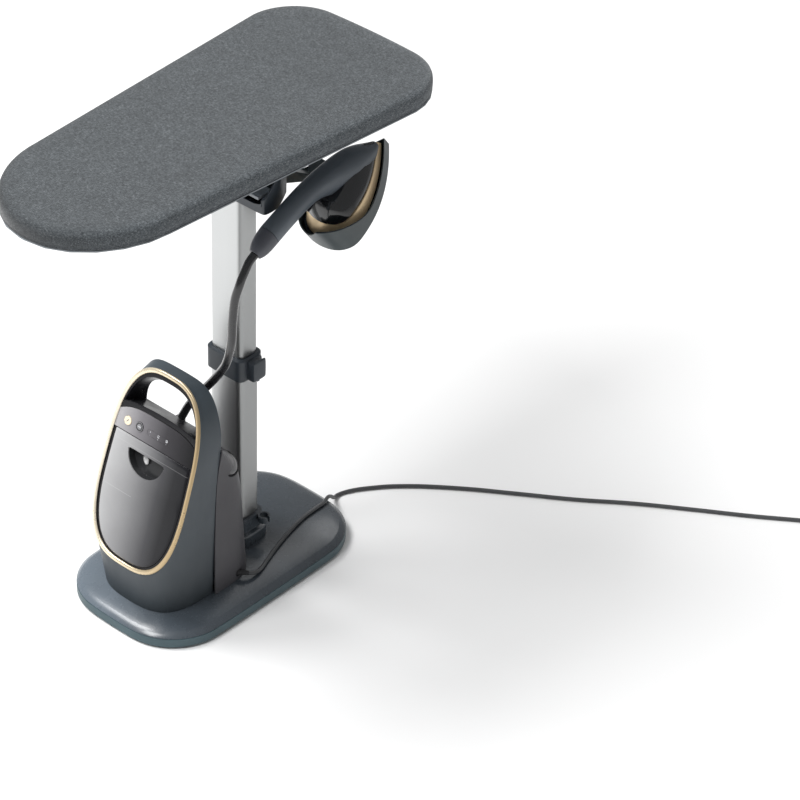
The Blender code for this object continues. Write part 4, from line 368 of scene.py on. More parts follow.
# Painted light: the tank's face goes from pale grey at the left to near black at the right, and is lighter
# near its top.
TANK_SIDES = (-0.085, 0.085)
TANK_PAINTED_LIGHT = ((0.0, (0.40, 0.40, 0.405)), (0.22, (0.29, 0.29, 0.295)), (0.48, (0.150, 0.150, 0.155)),
              (0.70, (0.050, 0.050, 0.054)), (0.86, (0.014, 0.014, 0.016)), (1.0, (0.008, 0.008, 0.010)))
TANK_RISE, TANK_RISE_PAINTED_LIGHT = (-0.22, 0.0), ((0.0, 1.06), (0.30, 1.06), (0.62, 1.0), (1.0, 1.18))
TANK_CLOUD, TANK_CLOUD_SHADES = (14.0, 4.0, 0.55), (0.95, 1.05)
WATER_ENDS, WATER_SHARES, WATER_LEVEL, WATER_LIGHT = (-0.082, -0.019), (0.001, 0.999), -0.106, 0.20
TANK_TOP_LEVEL, TANK_TOP_LIGHT = -0.0205, 0.14
TANK_LINE_HALF, TANK_LINE_TONE = 0.0005, (0.62, 0.62, 0.63)
# Painted shade: the tank's surfaces set back behind its front face, as in its grip, are dark.
TANK_BEHIND, TANK_RECESS_PAINTED_SHADE = -0.0012, (0.030, 0.031, 0.033)
TANK_SMEAR, TANK_DRAW, TANK_GLOSS = (30.0, 5.0, 0.6), (1.0, 1.0, 0.4), (0.13, 0.22)


def smoky():
    """Tinted clear plastic before a dark bay, with painted light: pale at the left, near black at the right,
    lighter near the top, and painted shade where it is set back behind its face.
    """
    material, tree, shader = graph("smoky_tank", (0.10, 0.10, 0.11), 0.16, Specular_IOR_Level=0.22)
    tone = ramp(tree, lean(tree, "Object", ACROSS, *TANK_SIDES), *TANK_PAINTED_LIGHT)
    rise = face_axis(tree, 1)
    tone = tint(tree, tone, ramp(tree, spread(tree, rise, *TANK_RISE), *TANK_RISE_PAINTED_LIGHT))
    cloud = noise(tree, coords(tree), *TANK_CLOUD)
    tone = tint(tree, tone, between(tree, cloud, SOFT_SPAN, TANK_CLOUD_SHADES))
    place = lean(tree, "Object", ACROSS, *WATER_ENDS)
    first, last = WATER_SHARES
    inside = maths(tree, "MULTIPLY", maths(tree, "GREATER_THAN", place, first),
                   maths(tree, "LESS_THAN", place, last))
    water = maths(tree, "MULTIPLY", band(tree, rise, WATER_LEVEL, TANK_LINE_HALF), inside)
    lines = maths(tree, "MAXIMUM", maths(tree, "MULTIPLY", water, WATER_LIGHT),
                  maths(tree, "MULTIPLY", band(tree, rise, TANK_TOP_LEVEL, TANK_LINE_HALF), TANK_TOP_LIGHT))
    tone = mix(tree, lines, tone, TANK_LINE_TONE)
    # Painted shade where the tank is set back behind its front face.
    recess_shade = maths(tree, "LESS_THAN", face_axis(tree, 2), TANK_BEHIND)
    tree.links.new(mix(tree, recess_shade, tone, TANK_RECESS_PAINTED_SHADE), shader.inputs["Base Color"])
    smear = noise(tree, coords(tree, TANK_DRAW), *TANK_SMEAR)
    tree.links.new(between(tree, smear, WIDE_SPAN, TANK_GLOSS), shader.inputs["Roughness"])
    return material


# Painted light: the panel goes from pale grey at the left to near black at the right.
PANEL_SIDES = (-0.09, 0.09)
PANEL_PAINTED_LIGHT = ((0.0, (0.42, 0.41, 0.42)), (0.30, (0.185, 0.178, 0.190)), (0.62, (0.048, 0.046, 0.051)),
               (1.0, (0.006, 0.006, 0.007)))
PANEL_CLOUD, PANEL_CLOUD_SHADES, PANEL_BUMP = (20.0, 4.0, 0.55), (0.96, 1.04), 0.5


def panel_tone():
    material, tree, shader = graph("panel", (0.10, 0.10, 0.11), 0.34, Specular_IOR_Level=0.16)
    # Painted light: pale at the left of the panel, near black at the right.
    tone = ramp(tree, lean(tree, "Object", ACROSS, *PANEL_SIDES), *PANEL_PAINTED_LIGHT)
    cloud = between(tree, noise(tree, coords(tree), *PANEL_CLOUD), SOFT_SPAN, PANEL_CLOUD_SHADES)
    tree.links.new(tint(tree, tone, cloud), shader.inputs["Base Color"])
    bump(tree, shader, noise(tree, coords(tree), SPARK), SOFT_GRAIN, PANEL_BUMP)
    return material


CLEAR_CLOUD, CLEAR_SHADES = (120.0, 3.0, 0.6), (0.28, 0.75)


def clear_plastic():
    material, tree, shader = graph("clear_cap", (0.55, 0.56, 0.57), 0.12, Coat_Weight=1.0,
                                   Coat_Roughness=0.03)
    tone = between(tree, noise(tree, coords(tree), *CLEAR_CLOUD), FIRM_SPAN, CLEAR_SHADES)
    tree.links.new(tone, shader.inputs["Base Color"])
    return material


TANK = smoky()
PANEL = panel_tone()
CLEAR = clear_plastic()

HOSE_SMEAR, HOSE_GLOSS, HOSE_GRAIN, HOSE_BUMP = (55.0, 5.0, 0.6), (0.18, 0.32), 900.0, 0.5
HOSE_TONES = ((0.010, 0.010, 0.012), (0.016, 0.016, 0.018))


def hose_skin():
    material, tree, shader = graph("hose", (0.012, 0.012, 0.014), 0.24, Coat_Weight=0.4, Coat_Roughness=0.12)
    smear = noise(tree, coords(tree), *HOSE_SMEAR)
    tree.links.new(between(tree, smear, WIDE_SPAN, HOSE_GLOSS), shader.inputs["Roughness"])
    tree.links.new(between(tree, smear, SOFT_SPAN, HOSE_TONES), shader.inputs["Base Color"])
    bump(tree, shader, noise(tree, coords(tree), HOSE_GRAIN), GRAIN, HOSE_BUMP)
    return material


HOSE = hose_skin()
GLOW = plastic("lit_button", (0.86, 0.74, 0.56), 0.35, depth=0.000002, Emission_Color=(1.0, 0.88, 0.70, 1.0),
               Emission_Strength=0.10)
MARK_DIM = plastic("mark_grey", (0.22, 0.22, 0.23), 0.4)
CORD = plastic("cord", (0.055, 0.057, 0.060), 0.42, grain=1500.0)


# ---- Finer versions of solids

TURNED_SMOOTH, FLAT_SMOOTH, PAD_SMOOTH, HOSE_SMOOTH = 50.0, 30.0, 60.0, 35.0
SHARP, WELD, BEVEL_SEGMENTS = 32.0, 0.00001, 2
JOIN_FACE_ANGLE, JOIN_SHAPE_ANGLE = math.radians(12), math.radians(70)


def skin(rings, caps=True):
    """A surface over rings of points, closed at both ends unless it runs back into itself."""
    bm = bmesh.new()
    rows = [[bm.verts.new(point) for point in ring] for ring in rings]
    count = len(rings[0])
    for low, high in zip(rows, rows[1:]):
        for k in range(count):
            after = (k + 1) % count
            bm.faces.new((low[k], low[after], high[after], high[k]))
    if caps:
        bm.faces.new(list(reversed(rows[0])))
        bm.faces.new(rows[-1])
    bmesh.ops.recalc_face_normals(bm, faces=bm.faces)
    return bm


def finish_piece(name, bm, material, body, smooth):
    data = bpy.data.meshes.new(name)
    bm.to_mesh(data)
    bm.free()
    data.shade_smooth()
    data.set_sharp_from_angle(angle=math.radians(smooth))
    item = bpy.data.objects.new(name, data)
    bpy.context.scene.collection.objects.link(item)
    data.materials.append(material)
    if body:
        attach(item, body)
    return item


def refine(name, material, bevel, levels):
    """Copy of a solid with rounded edges and a subdivided surface, in the solid's place."""
    source = NODES[name]
    bm = bmesh.new()
    bm.from_mesh(source.data)
    bm.transform(source.matrix_world)
    bmesh.ops.remove_doubles(bm, verts=bm.verts, dist=WELD)
    triangles = [face for face in bm.faces if len(face.verts) == 3]
    bmesh.ops.join_triangles(bm, faces=triangles, angle_face_threshold=JOIN_FACE_ANGLE,
                             angle_shape_threshold=JOIN_SHAPE_ANGLE)
    item = finish_piece(name + "_finish", bm, material, body_of(source)[0], SHARP)
    if bevel:
        edge = item.modifiers.new("edge", "BEVEL")
        edge.width = bevel
        edge.segments = BEVEL_SEGMENTS
        edge.limit_method = "ANGLE"
        edge.angle_limit = math.radians(SHARP)
        edge.harden_normals = False
    if levels:
        subdivide = item.modifiers.new("smooth", "SUBSURF")
        subdivide.levels = levels
        subdivide.render_levels = levels
    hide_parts(name)
    return item


# Solid, material, rounding of its edges, levels of subdivision
REFINED = (
    ("base_tray", TRAY, 0.0010, 2), ("base_cover", BASE_TOP, 0.0014, 2),
    ("column_socket", BASE_TOP, 0.0012, 2),
    ("outer_tube", ALUMINIUM, 0.0, 0), ("inner_tube", ALUMINIUM, 0.0, 0),
    ("collar", DARK, 0.0010, 2), ("height_lever", DARK, 0.0010, 2),
    ("front_housing", HOUSING, 0.0007, 2), ("rear_housing", REAR, 0.0007, 2),
    ("handle_liner", BLACK, 0.0006, 2), ("control_panel", PANEL, 0.0006, 2),
    ("power_button", GLOW, 0.0005, 2), ("mode_button", STRIP, 0.0005, 2), ("indicator_strip", PANEL, 0.0, 0),
    ("water_tank", TANK, 0.0008, 2), ("tank_bay", BLACK, 0.0, 0), ("tank_cap", CLEAR, 0.0005, 2),
    ("hose_gland", RUBBER, 0.0008, 2),
    ("head_housing", DARK, 0.0008, 2), ("head_block", DARK, 0.0008, 1), ("tilt_lever", PADDLE, 0.0010, 2),
    ("cradle_arm", CRADLE, 0.0012, 2), ("iron_cradle", CRADLE, 0.0008, 2),
    ("soleplate", STEEL, 0.0006, 2), ("iron_skirt", GLOSS, 0.0006, 2), ("iron_band", BAND, 0.0006, 2),
    ("iron_body", GLOSS, 0.0006, 2), ("iron_handle", HANDLE, 0.0010, 2), ("iron_boot", BOOT, 0.0008, 2),
    ("steam_trigger", BLACK, 0.0006, 2), ("mains_plug", BLACK, 0.0008, 2),
)
PIECES = {name: refine(name, material, bevel, levels) for name, material, bevel, levels in REFINED}

PLAIN = {
    "ballast_plate": STEEL, "guide_bush": RUBBER, "boiler": STEEL, "pump": BLACK, "circuit_board": STRIP,
    "tank_valve": BLACK, "hinge_pin": STEEL, "board_frame": FRAME, "board_spine": FRAME,
    "board_bracket_left": FRAME, "board_bracket_right": FRAME, "mesh_plate": STEEL, "guide_shoe": BLACK,
    "lever_pin": STEEL, "cradle_pad": RUBBER,
}
for name, item in NODES.items():
    material = PLAIN.get(name, RUBBER if name.startswith("foot_") else None)
    if material is not None:
        for slot in item.material_slots:
            slot.material = material


# ---- Console front: ring and marks

RING_CENTRE_V, RING_SEMI_V, RING_SEMI_X, RING_TAPER, RING_POWER = -0.049, 0.175, 0.0985, 0.004, 2.93
RING_STEPS = 128
# How far each line of the ring's section is outside its outline, and how high out of the face
RING_SECTION = ((-0.0040, 0.0004), (-0.0039, 0.0018), (-0.0031, 0.0030), (-0.0018, 0.0035), (0.0012, 0.0036),
                (0.0028, 0.0031), (0.0038, 0.0018), (0.0041, 0.0002))
RING_BACK = ((0.0018, -0.0042), (0.0018, 0.0004))
SKIRT_LEVELS, SKIRT_EDGE = (-0.0020, -0.0042), -0.0002
SKIRT_FROM, SKIRT_REACH, SKIRT_COVER, SKIRT_PLAIN = 0.012, 0.014, 0.0007, 0.0042


def ring_spot(angle, grow, level):
    share = signed_power(math.sin(angle), 2 / RING_POWER)
    across = (RING_SEMI_X + grow - RING_TAPER * share) * signed_power(math.cos(angle), 2 / RING_POWER)
    return FACE @ Vector((across, RING_CENTRE_V + (RING_SEMI_V + grow) * share, level))


def ring_piece():
    """The gold ring: a rounded front, and a thin skirt in the housing's colour that follows its side."""
    housing = NODES["front_housing"].data
    housing.calc_loop_triangles()
    tree = BVHTree.FromPolygons([vertex.co for vertex in housing.vertices],
                                [tuple(face.vertices) for face in housing.loop_triangles])
    angles = around(RING_STEPS)
    rings = [[ring_spot(angle, grow, level) for angle in angles] for grow, level in RING_SECTION]
    for level in SKIRT_LEVELS:
        row = []
        for angle in angles:
            start = ring_spot(angle, SKIRT_FROM, level)
            way = (ring_spot(angle, 0, level) - start).normalized()
            hit = tree.ray_cast(start, way, SKIRT_REACH)[0]
            row.append(hit - way * SKIRT_COVER if hit else ring_spot(angle, SKIRT_PLAIN, level))
        rings.append(row)
    rings += [[ring_spot(angle, grow, level) for angle in angles] for grow, level in RING_BACK]
    item = finish_piece("trim_ring_finish", skin(rings + [rings[0]], caps=False), GOLD, "base", TURNED_SMOOTH)
    item.data.materials.append(HOUSING)
    face = FACE.inverted()
    for polygon in item.data.polygons:
        polygon.material_index = int((face @ polygon.center).z < SKIRT_EDGE)
    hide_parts("trim_ring")


ROUND_SIDES, SMALL_ROUND_SIDES, BAR_END_STEPS, DROP_SIDES, DROP_POINT = 28, 14, 8, 24, 6


def on_face(outline, level):
    return [FACE @ Vector((x, v, level)) for x, v in outline]


def face_shape(name, outline, levels, material, body, inner=None):
    """A thin raised mark on the front face; with an inner outline it is a ring."""
    low, high = levels
    rings = [on_face(outline, low), on_face(outline, high)]
    if inner:
        rings += [on_face(inner, high), on_face(inner, low), rings[0]]
    finish_piece(name, skin(rings, caps=not inner), material, body, FLAT_SMOOTH)


def round_outline(spot, radius, sides=ROUND_SIDES):
    x, v = spot
    return [(x + radius * math.cos(angle), v + radius * math.sin(angle)) for angle in around(sides)]


def bar_outline(spot, length, width, turn=0.0):
    (x, v), half, ends = spot, width / 2, []
    for side in (1, -1):
        for k in range(BAR_END_STEPS + 1):
            angle = math.pi * (k / BAR_END_STEPS - 0.5) + (0 if side > 0 else math.pi)
            ends.append((side * (length / 2 - half) + half * math.cos(angle), half * math.sin(angle)))
    cos, sin = math.cos(turn), math.sin(turn)
    return [(x + a * cos - b * sin, v + a * sin + b * cos) for a, b in ends]


def drop_outline(spot, size):
    (x, v), points = spot, []
    for angle in around(DROP_SIDES):
        reach = size * (0.5 + 0.5 * max(math.sin(angle), 0.0) ** DROP_POINT)
        points.append((x + reach * math.cos(angle), v + reach * math.sin(angle)))
    return points


POWER_SPOT, MODE_SPOT = (-0.0657, 0.0163), (-0.0382, 0.0168)
POWER_RIM, MODE_RIM, MODE_DISC = (0.0079, 0.0070), (0.0082, 0.0074), 0.0050
# Bars: length, width, turn. Levels: foot and top of a mark, out of the face
POWER_DASH, MODE_DASH = (0.0068, 0.0015, math.radians(50)), (0.0072, 0.0017)
RIM_LEVELS, DISC_LEVELS = (0.0010, 0.0014), (0.0009, 0.00125)
DASH_LEVELS, ICON_LEVELS = (0.0010, 0.0015), (-0.0006, 0.0001)
DROP_X, STEAM_X, TARGET_X, ICON_V, LAMP_V = -0.0131, 0.0059, 0.0256, 0.0182, 0.0125
DROP_SIZE, TARGET_RIM, TARGET_CORE, LAMP_RADIUS = 0.0017, (0.0025, 0.0016), 0.0008, 0.00085
PLUME_V, PLUME_SHIFT, PLUME = 0.0190, 0.0013, (0.0036, 0.0010, math.radians(70))
PLUME_FOOT_V, PLUME_FOOT = 0.0162, (0.0044, 0.0010)


def panel_marks():
    """Rims and dashes on the two buttons, and three icons with a lamp under each on the panel."""
    power, mode = body_of(NODES["power_button"])[0], body_of(NODES["mode_button"])[0]
    outer, inner = (round_outline(POWER_SPOT, radius) for radius in POWER_RIM)
    face_shape("power_rim", outer, RIM_LEVELS, GOLD, power, inner)
    face_shape("power_dash", bar_outline(POWER_SPOT, *POWER_DASH), RIM_LEVELS, MARK_DIM, power)
    outer, inner = (round_outline(MODE_SPOT, radius) for radius in MODE_RIM)
    face_shape("mode_rim", outer, RIM_LEVELS, MARK_DIM, mode, inner)
    face_shape("mode_disc", round_outline(MODE_SPOT, MODE_DISC), DISC_LEVELS, MARK_DIM, mode)
    face_shape("mode_dash", bar_outline(MODE_SPOT, *MODE_DASH), DASH_LEVELS, MARK, mode)
    face_shape("icon_drop", drop_outline((DROP_X, ICON_V), DROP_SIZE), ICON_LEVELS, MARK, "base")
    for name, shift in (("left", -PLUME_SHIFT), ("right", PLUME_SHIFT)):
        plume = bar_outline((STEAM_X + shift, PLUME_V), *PLUME)
        face_shape("icon_steam_" + name, plume, ICON_LEVELS, MARK, "base")
    foot = bar_outline((STEAM_X, PLUME_FOOT_V), *PLUME_FOOT)
    face_shape("icon_steam_foot", foot, ICON_LEVELS, MARK, "base")
    outer, inner = (round_outline((TARGET_X, ICON_V), radius) for radius in TARGET_RIM)
    face_shape("icon_ring", outer, ICON_LEVELS, MARK, "base", inner)
    core = round_outline((TARGET_X, ICON_V), TARGET_CORE, SMALL_ROUND_SIDES)
    face_shape("icon_core", core, ICON_LEVELS, MARK, "base")
    lamps = (("first", DROP_X, MARK_DIM), ("second", STEAM_X, MARK), ("third", TARGET_X, MARK_DIM))
    for name, x, material in lamps:
        lamp = round_outline((x, LAMP_V), LAMP_RADIUS, SMALL_ROUND_SIDES)
        face_shape("lamp_" + name, lamp, ICON_LEVELS, material, "base")


# ---- Cap on the rear shell, and lens in the tank's grip

CAP_TILT, CAP_TURN, CAP_PLACE = math.radians(50), math.radians(22), Vector((0.0765, -0.0290, 0.2780))
CAP_AXIS = Vector((math.sin(CAP_TILT) * math.cos(CAP_TURN), math.sin(CAP_TILT) * math.sin(CAP_TURN),
                   math.cos(CAP_TILT)))
CAP_SIDES, DOME_RADIUS, DOME_RISE, DOME_STEPS, DOME_TIP = 64, 0.0201, 0.0088, 14, 0.0002
# Turned sections: radius, height
CAP_SIDE = ((0.0205, -0.0140), (0.0205, -0.0006), (0.0203, 0.0002))
# A black ring of painted shade in the gap under the cap.
CAP_SHADE_RING = ((0.0212, -0.0040), (0.0212, 0.0012), (0.0222, 0.0020), (0.0236, 0.0016), (0.0240, 0.0004),
           (0.0240, -0.0040))
CAP_SHADE_RING_SINK = 0.0005


def turned(name, section, place, material, body):
    """A turned piece on the cap's axis."""
    spot = Matrix.Translation(place) @ CAP_AXIS.to_track_quat("Z", "Y").to_matrix().to_4x4()
    rings = [[spot @ Vector((radius * math.cos(angle), radius * math.sin(angle), up))
              for angle in around(CAP_SIDES)] for radius, up in section]
    return finish_piece(name, skin(rings), material, body, TURNED_SMOOTH)


def cap_piece():
    """The domed cap on the rear shell, over a black ring of painted shade in the gap beneath it."""
    angles = [math.pi / 2 * k / DOME_STEPS for k in range(1, DOME_STEPS)]
    dome = [(DOME_RADIUS * math.cos(angle), DOME_RISE * math.sin(angle)) for angle in angles]
    section = [*CAP_SIDE, *dome, (DOME_TIP, DOME_RISE)]
    item = turned("cap_finish", section, CAP_PLACE, CAP, body_of(NODES["descale_cap"])[0])
    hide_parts("descale_cap")
    # Black ring of painted shade in the gap under the cap.
    turned("cap_gap_shade", CAP_SHADE_RING, CAP_PLACE - CAP_AXIS * CAP_SHADE_RING_SINK, BLACK, "base")


BEAD_PLACE, BEAD_TURN = (-0.0175, -0.0360, -0.0125), math.radians(28)
BEAD_SIZE, BEAD_SIDES = (0.0060, 0.0098, 0.0028, 1), (32, 20)


def grip_lens():
    """A clear bead on the filling cap, in the tank's grip."""
    bm = bmesh.new()
    round_sides, rise_sides = BEAD_SIDES
    bmesh.ops.create_uvsphere(bm, u_segments=round_sides, v_segments=rise_sides, radius=1.0)
    bm.transform(FACE @ Matrix.Translation(BEAD_PLACE) @ Matrix.Rotation(BEAD_TURN, 4, "Z")
                 @ Matrix.Diagonal(BEAD_SIZE))
    finish_piece("grip_lens", bm, CLEAR, body_of(NODES["water_tank"])[0], PAD_SMOOTH)


# ---- Iron's handle

# Along the iron: the height of the handle's middle, and the share of its upper half that is kept
HANDLE_MIDDLES = ((-0.058, 0.1087), (0.0020, 0.0966), (0.0320, 0.0895), (0.0540, 0.0822), (0.0760, 0.0705),
                  (0.0980, 0.0540), (0.1200, 0.0370), (0.1440, 0.0200), (0.1640, 0.0091), (0.1780, 0.0035))
HANDLE_SHARES = ((0.0, 1.0), (0.032, 0.96), (0.054, 0.80), (0.076, 0.66), (0.098, 0.64), (0.120, 0.72),
                 (0.144, 0.90), (0.164, 1.0), (0.2, 1.0))


def slim_handle():
    """Draw the handle's back in where it bends down to the body."""
    into = IRON_FRAME.inverted()
    for vertex in PIECES["iron_handle"].data.vertices:
        spot = into @ vertex.co
        if spot.y <= 0.0:
            continue
        middle = table(HANDLE_MIDDLES, spot.y)
        if spot.z > middle:
            spot.z = middle + (spot.z - middle) * table(HANDLE_SHARES, spot.y)
        vertex.co = IRON_FRAME @ spot


# ---- Routes

CURVE_STEPS = 16


def smooth_route(points, spacing):
    """Points at an even spacing along a smooth curve through the route's own points."""
    points = [Vector(point) for point in points]
    dense = []
    for index in range(len(points) - 1):
        before = points[max(index - 1, 0)]
        first, second = points[index], points[index + 1]
        after = points[min(index + 2, len(points) - 1)]
        for k in range(CURVE_STEPS):
            t = k / CURVE_STEPS
            dense.append(((2 * first) + (second - before) * t
                          + (2 * before - 5 * first + 4 * second - after) * t * t
                          + (3 * first - before - 3 * second + after) * t ** 3) / 2)
    dense.append(points[-1])
    lengths = [0.0]
    for first, second in zip(dense, dense[1:]):
        lengths.append(lengths[-1] + (second - first).length)
    count = max(round(lengths[-1] / spacing), 2)
    even, cursor = [], 0
    for k in range(count + 1):
        target = lengths[-1] * k / count
        while cursor < len(lengths) - 2 and lengths[cursor + 1] < target:
            cursor += 1
        step = lengths[cursor + 1] - lengths[cursor]
        share = (target - lengths[cursor]) / step if step else 0.0
        even.append(dense[cursor].lerp(dense[cursor + 1], min(max(share, 0.0), 1.0)))
    return even


def route_length(points):
    return sum((second - first).length for first, second in zip(points, points[1:]))


def tube_rings(path, radius, sides):
    """Rings along a path with a frame carried from one to the next."""
    rings, side = [], None
    for index, point in enumerate(path):
        before = path[max(index - 1, 0)]
        after = path[min(index + 1, len(path) - 1)]
        run = (after - before).normalized()
        if side is None:
            side = run.orthogonal().normalized()
        side = (side - run * side.dot(run)).normalized()
        other = run.cross(side)
        rings.append([point + (side * math.cos(angle) + other * math.sin(angle)) * radius
                      for angle in around(sides)])
    return rings


# ---- Mains lead

CORD_RADIUS = 0.0035
CORD_START = Vector((0.1000, -0.0218, 0.0505))
CORD_HEADING = Vector((0.7071, 0.7071, 0.0)).normalized()
CORD_ROUTE = (
    (0.1076, -0.0128, 0.0488), (0.1106, -0.0056, 0.0466), (0.1116, 0.0022, 0.0444),
    (0.1108, 0.0110, 0.0428), (0.1016, 0.0400, 0.0427), (0.0930, 0.0650, 0.0440),
    (0.0788, 0.1143, 0.0456), (0.0680, 0.1620, 0.0465), (0.0610, 0.2060, 0.0424),
    (0.0560, 0.2330, 0.0378), (0.0480, 0.2520, 0.0350), (0.0400, 0.2700, 0.0225),
    (0.0330, 0.2850, 0.0085), (0.0290, 0.3010, 0.0040), (0.0370, 0.3240, 0.0040),
    (0.0560, 0.3540, 0.0040), (0.0900, 0.3950, 0.0040), (0.1700, 0.4640, 0.0040),
    (0.2560, 0.5250, 0.0040), (0.3430, 0.5850, 0.0040), (0.4260, 0.6490, 0.0040),
    (0.5120, 0.7080, 0.0040), (0.5990, 0.7660, 0.0040), (0.6670, 0.8150, 0.0040))
COIL_START = Vector((0.7162, 0.8507, 0.0040))
COIL_HEADING = math.radians(36.0)
COIL_OUTER, COIL_INNER = 0.0465, 0.0345
COIL_WIND_TURNS, COIL_CLIMB_TURNS = 1.25, 0.5
COIL_LAYER, COIL_LOOP_POINTS, COIL_TAIL, PLUG_HEIGHT = 0.0080, 24, 0.070, 0.024
TAIL_SHARES = (0.25, 0.5, 0.75)
CORD_ROUNDNESS, CORD_STEPS = 5, 6


def coil_points():
    """Loops that wind in flat on the floor, climb a layer, and wind out again on top."""
    heading = Vector((math.cos(COIL_HEADING), math.sin(COIL_HEADING), 0))
    left = Vector((-heading.y, heading.x, 0))
    centre = COIL_START + left * COIL_OUTER
    turns = 2 * COIL_WIND_TURNS + COIL_CLIMB_TURNS
    count = round(turns * COIL_LOOP_POINTS)
    points = []
    for k in range(count + 1):
        turn = turns * k / count
        if turn <= COIL_WIND_TURNS:
            drawn, climb = turn / COIL_WIND_TURNS, 0.0
        elif turn <= COIL_WIND_TURNS + COIL_CLIMB_TURNS:
            drawn, climb = 1.0, (turn - COIL_WIND_TURNS) / COIL_CLIMB_TURNS
        else:
            drawn, climb = (turns - turn) / COIL_WIND_TURNS, 1.0
        radius = COIL_OUTER + (COIL_INNER - COIL_OUTER) * drawn
        angle = 2 * math.pi * turn
        spot = centre + (-left * math.cos(angle) + heading * math.sin(angle)) * radius
        spot.z = COIL_START.z + COIL_LAYER * climb
        points.append(spot)
    return points, heading


def mains_lead():
    """The lead's centre line: over the base, along the floor, round the coil and up to the plug."""
    loops, forward = coil_points()
    plug_face = loops[-1] + forward * COIL_TAIL
    plug_face.z = PLUG_HEIGHT / 2
    tail = [loops[-1].lerp(plug_face, share) for share in TAIL_SHARES]
    lead = [COIL_START - forward * (2 * CORD_RADIUS), COIL_START]
    first = [CORD_START, CORD_START + CORD_HEADING * (2 * CORD_RADIUS)]
    first += [Vector(point) for point in CORD_ROUTE]
    return first + lead + loops[1:] + tail + [plug_face]


def cord_piece():
    points = mains_lead()
    data = bpy.data.curves.new("mains_lead", "CURVE")
    data.dimensions = "3D"
    data.bevel_depth = CORD_RADIUS
    data.bevel_resolution = CORD_ROUNDNESS
    data.resolution_u = CORD_STEPS
    spline = data.splines.new("BEZIER")
    spline.bezier_points.add(len(points) - 1)
    for spot, point in zip(spline.bezier_points, points):
        spot.co = point
        spot.handle_left_type = spot.handle_right_type = "AUTO"
    item = bpy.data.objects.new("mains_lead", data)
    bpy.context.scene.collection.objects.link(item)
    data.materials.append(CORD)
    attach(item, "base")
    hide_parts("mains_cord", "cord_coil")


SLEEVE_STATIONS, SLEEVE_STEP, SLEEVE_SIDES = (-0.0170, -0.0080, 0, 0.0070), 0.0007, 28
SLEEVE_WIDE, SLEEVE_SLIM = 0.0064, 0.0042
GROOVE_DEPTH, GROOVE_PITCH, GROOVE_RINGS, GROOVES_FROM, GROOVES_TO = 0.0006, 5, (3, 4), 0.12, 0.94


def strain_relief():
    """Ribbed sleeve that tapers from the housing's wall down onto the lead."""
    points = [CORD_START + CORD_HEADING * station for station in SLEEVE_STATIONS]
    path = smooth_route(points + [CORD_ROUTE[0]], SLEEVE_STEP)
    rings = tube_rings(path, 1.0, SLEEVE_SIDES)
    for index, (point, ring) in enumerate(zip(path, rings)):
        share = index / (len(path) - 1)
        radius = SLEEVE_WIDE + (SLEEVE_SLIM - SLEEVE_WIDE) * share
        if index % GROOVE_PITCH in GROOVE_RINGS and GROOVES_FROM < share < GROOVES_TO:
            radius -= GROOVE_DEPTH
        rings[index] = [point + (spot - point) * radius for spot in ring]
    item = finish_piece("cord_sleeve", skin(rings), RUBBER, "base", TURNED_SMOOTH)
    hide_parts("cord_gland")


# ---- Steam hose

HOSE_RADIUS, HOSE_STRAIGHT, FIT = 0.0075, 0.015, 0.0003
HOSE_STEP, HOSE_SIDES, HOSE_PARTING = 0.008, 24, 0.600
HOSE_ROUTE = (
    (0.1250, -0.0363, 0.6981), (0.1247, -0.0443, 0.6858), (0.1238, -0.0500, 0.6720),
    (0.1190, -0.0545, 0.6470), (0.1130, -0.0540, 0.6050), (0.1070, -0.0500, 0.5610),
    (0.1000, -0.0465, 0.5360), (0.0885, -0.0410, 0.5060), (0.0740, -0.0360, 0.4790),
    (0.0530, -0.0330, 0.4480), (0.0300, -0.0310, 0.4170), (0.0020, -0.0295, 0.3800),
    (-0.0170, -0.0285, 0.3525))
BOOT_END, BOOT_NEXT = Vector((0, -0.0985, 0.1113)), Vector((0, -0.0900, 0.1105))
GLAND_TILT = math.radians(28)
GLAND_OUT = Vector((math.sin(GLAND_TILT), 0, math.cos(GLAND_TILT)))
HOSE_FOOT = Vector((-0.039, -0.027, 0.312)) + GLAND_OUT * FIT


def hose_pieces():
    """The hose in two pieces, parted at the height where the column telescopes."""
    run = (IRON_FRAME.to_3x3() @ (BOOT_END - BOOT_NEXT)).normalized()
    start = IRON_FRAME @ BOOT_END + run * FIT
    landing = HOSE_FOOT + GLAND_OUT * HOSE_STRAIGHT
    route = [start, start + run * HOSE_STRAIGHT, *HOSE_ROUTE, landing, HOSE_FOOT]
    path = list(reversed(smooth_route(route, HOSE_STEP)))
    rings = tube_rings(path, HOSE_RADIUS, HOSE_SIDES)
    split = next(index for index, point in enumerate(path) if point.z > HOSE_PARTING)
    lower = finish_piece("hose_lower", skin(rings[:split + 1]), HOSE, None, HOSE_SMOOTH)
    upper = finish_piece("hose_upper", skin(rings[split:]), HOSE, None, HOSE_SMOOTH)
    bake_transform(lower, "base", "column", start=(0, 0, 0.36), end=(0, 0, 0.58))
    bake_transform(upper, "column", "iron", start=(0, 0, 0.61), end=(0, 0, 0.70))
    for item, part in ((lower, path[:split + 1]), (upper, path[split:])):
        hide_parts("steam_hose")
        print(item.name, round(route_length(part), 4))


# ---- Board pad

# Ends of the board: y of the edge, width, radius of the corners, bow of the edge
BOARD_FRONT = (-0.404, 0.3101, 0.150, 0.0209)
BOARD_BACK = (0.404, 0.3772, 0.0946, 0.0098)
CORNER_STEPS, EDGE_STEPS, SIDE_STEPS, CORNER_LEAST_SHARE = 16, 8, 14, 0.1
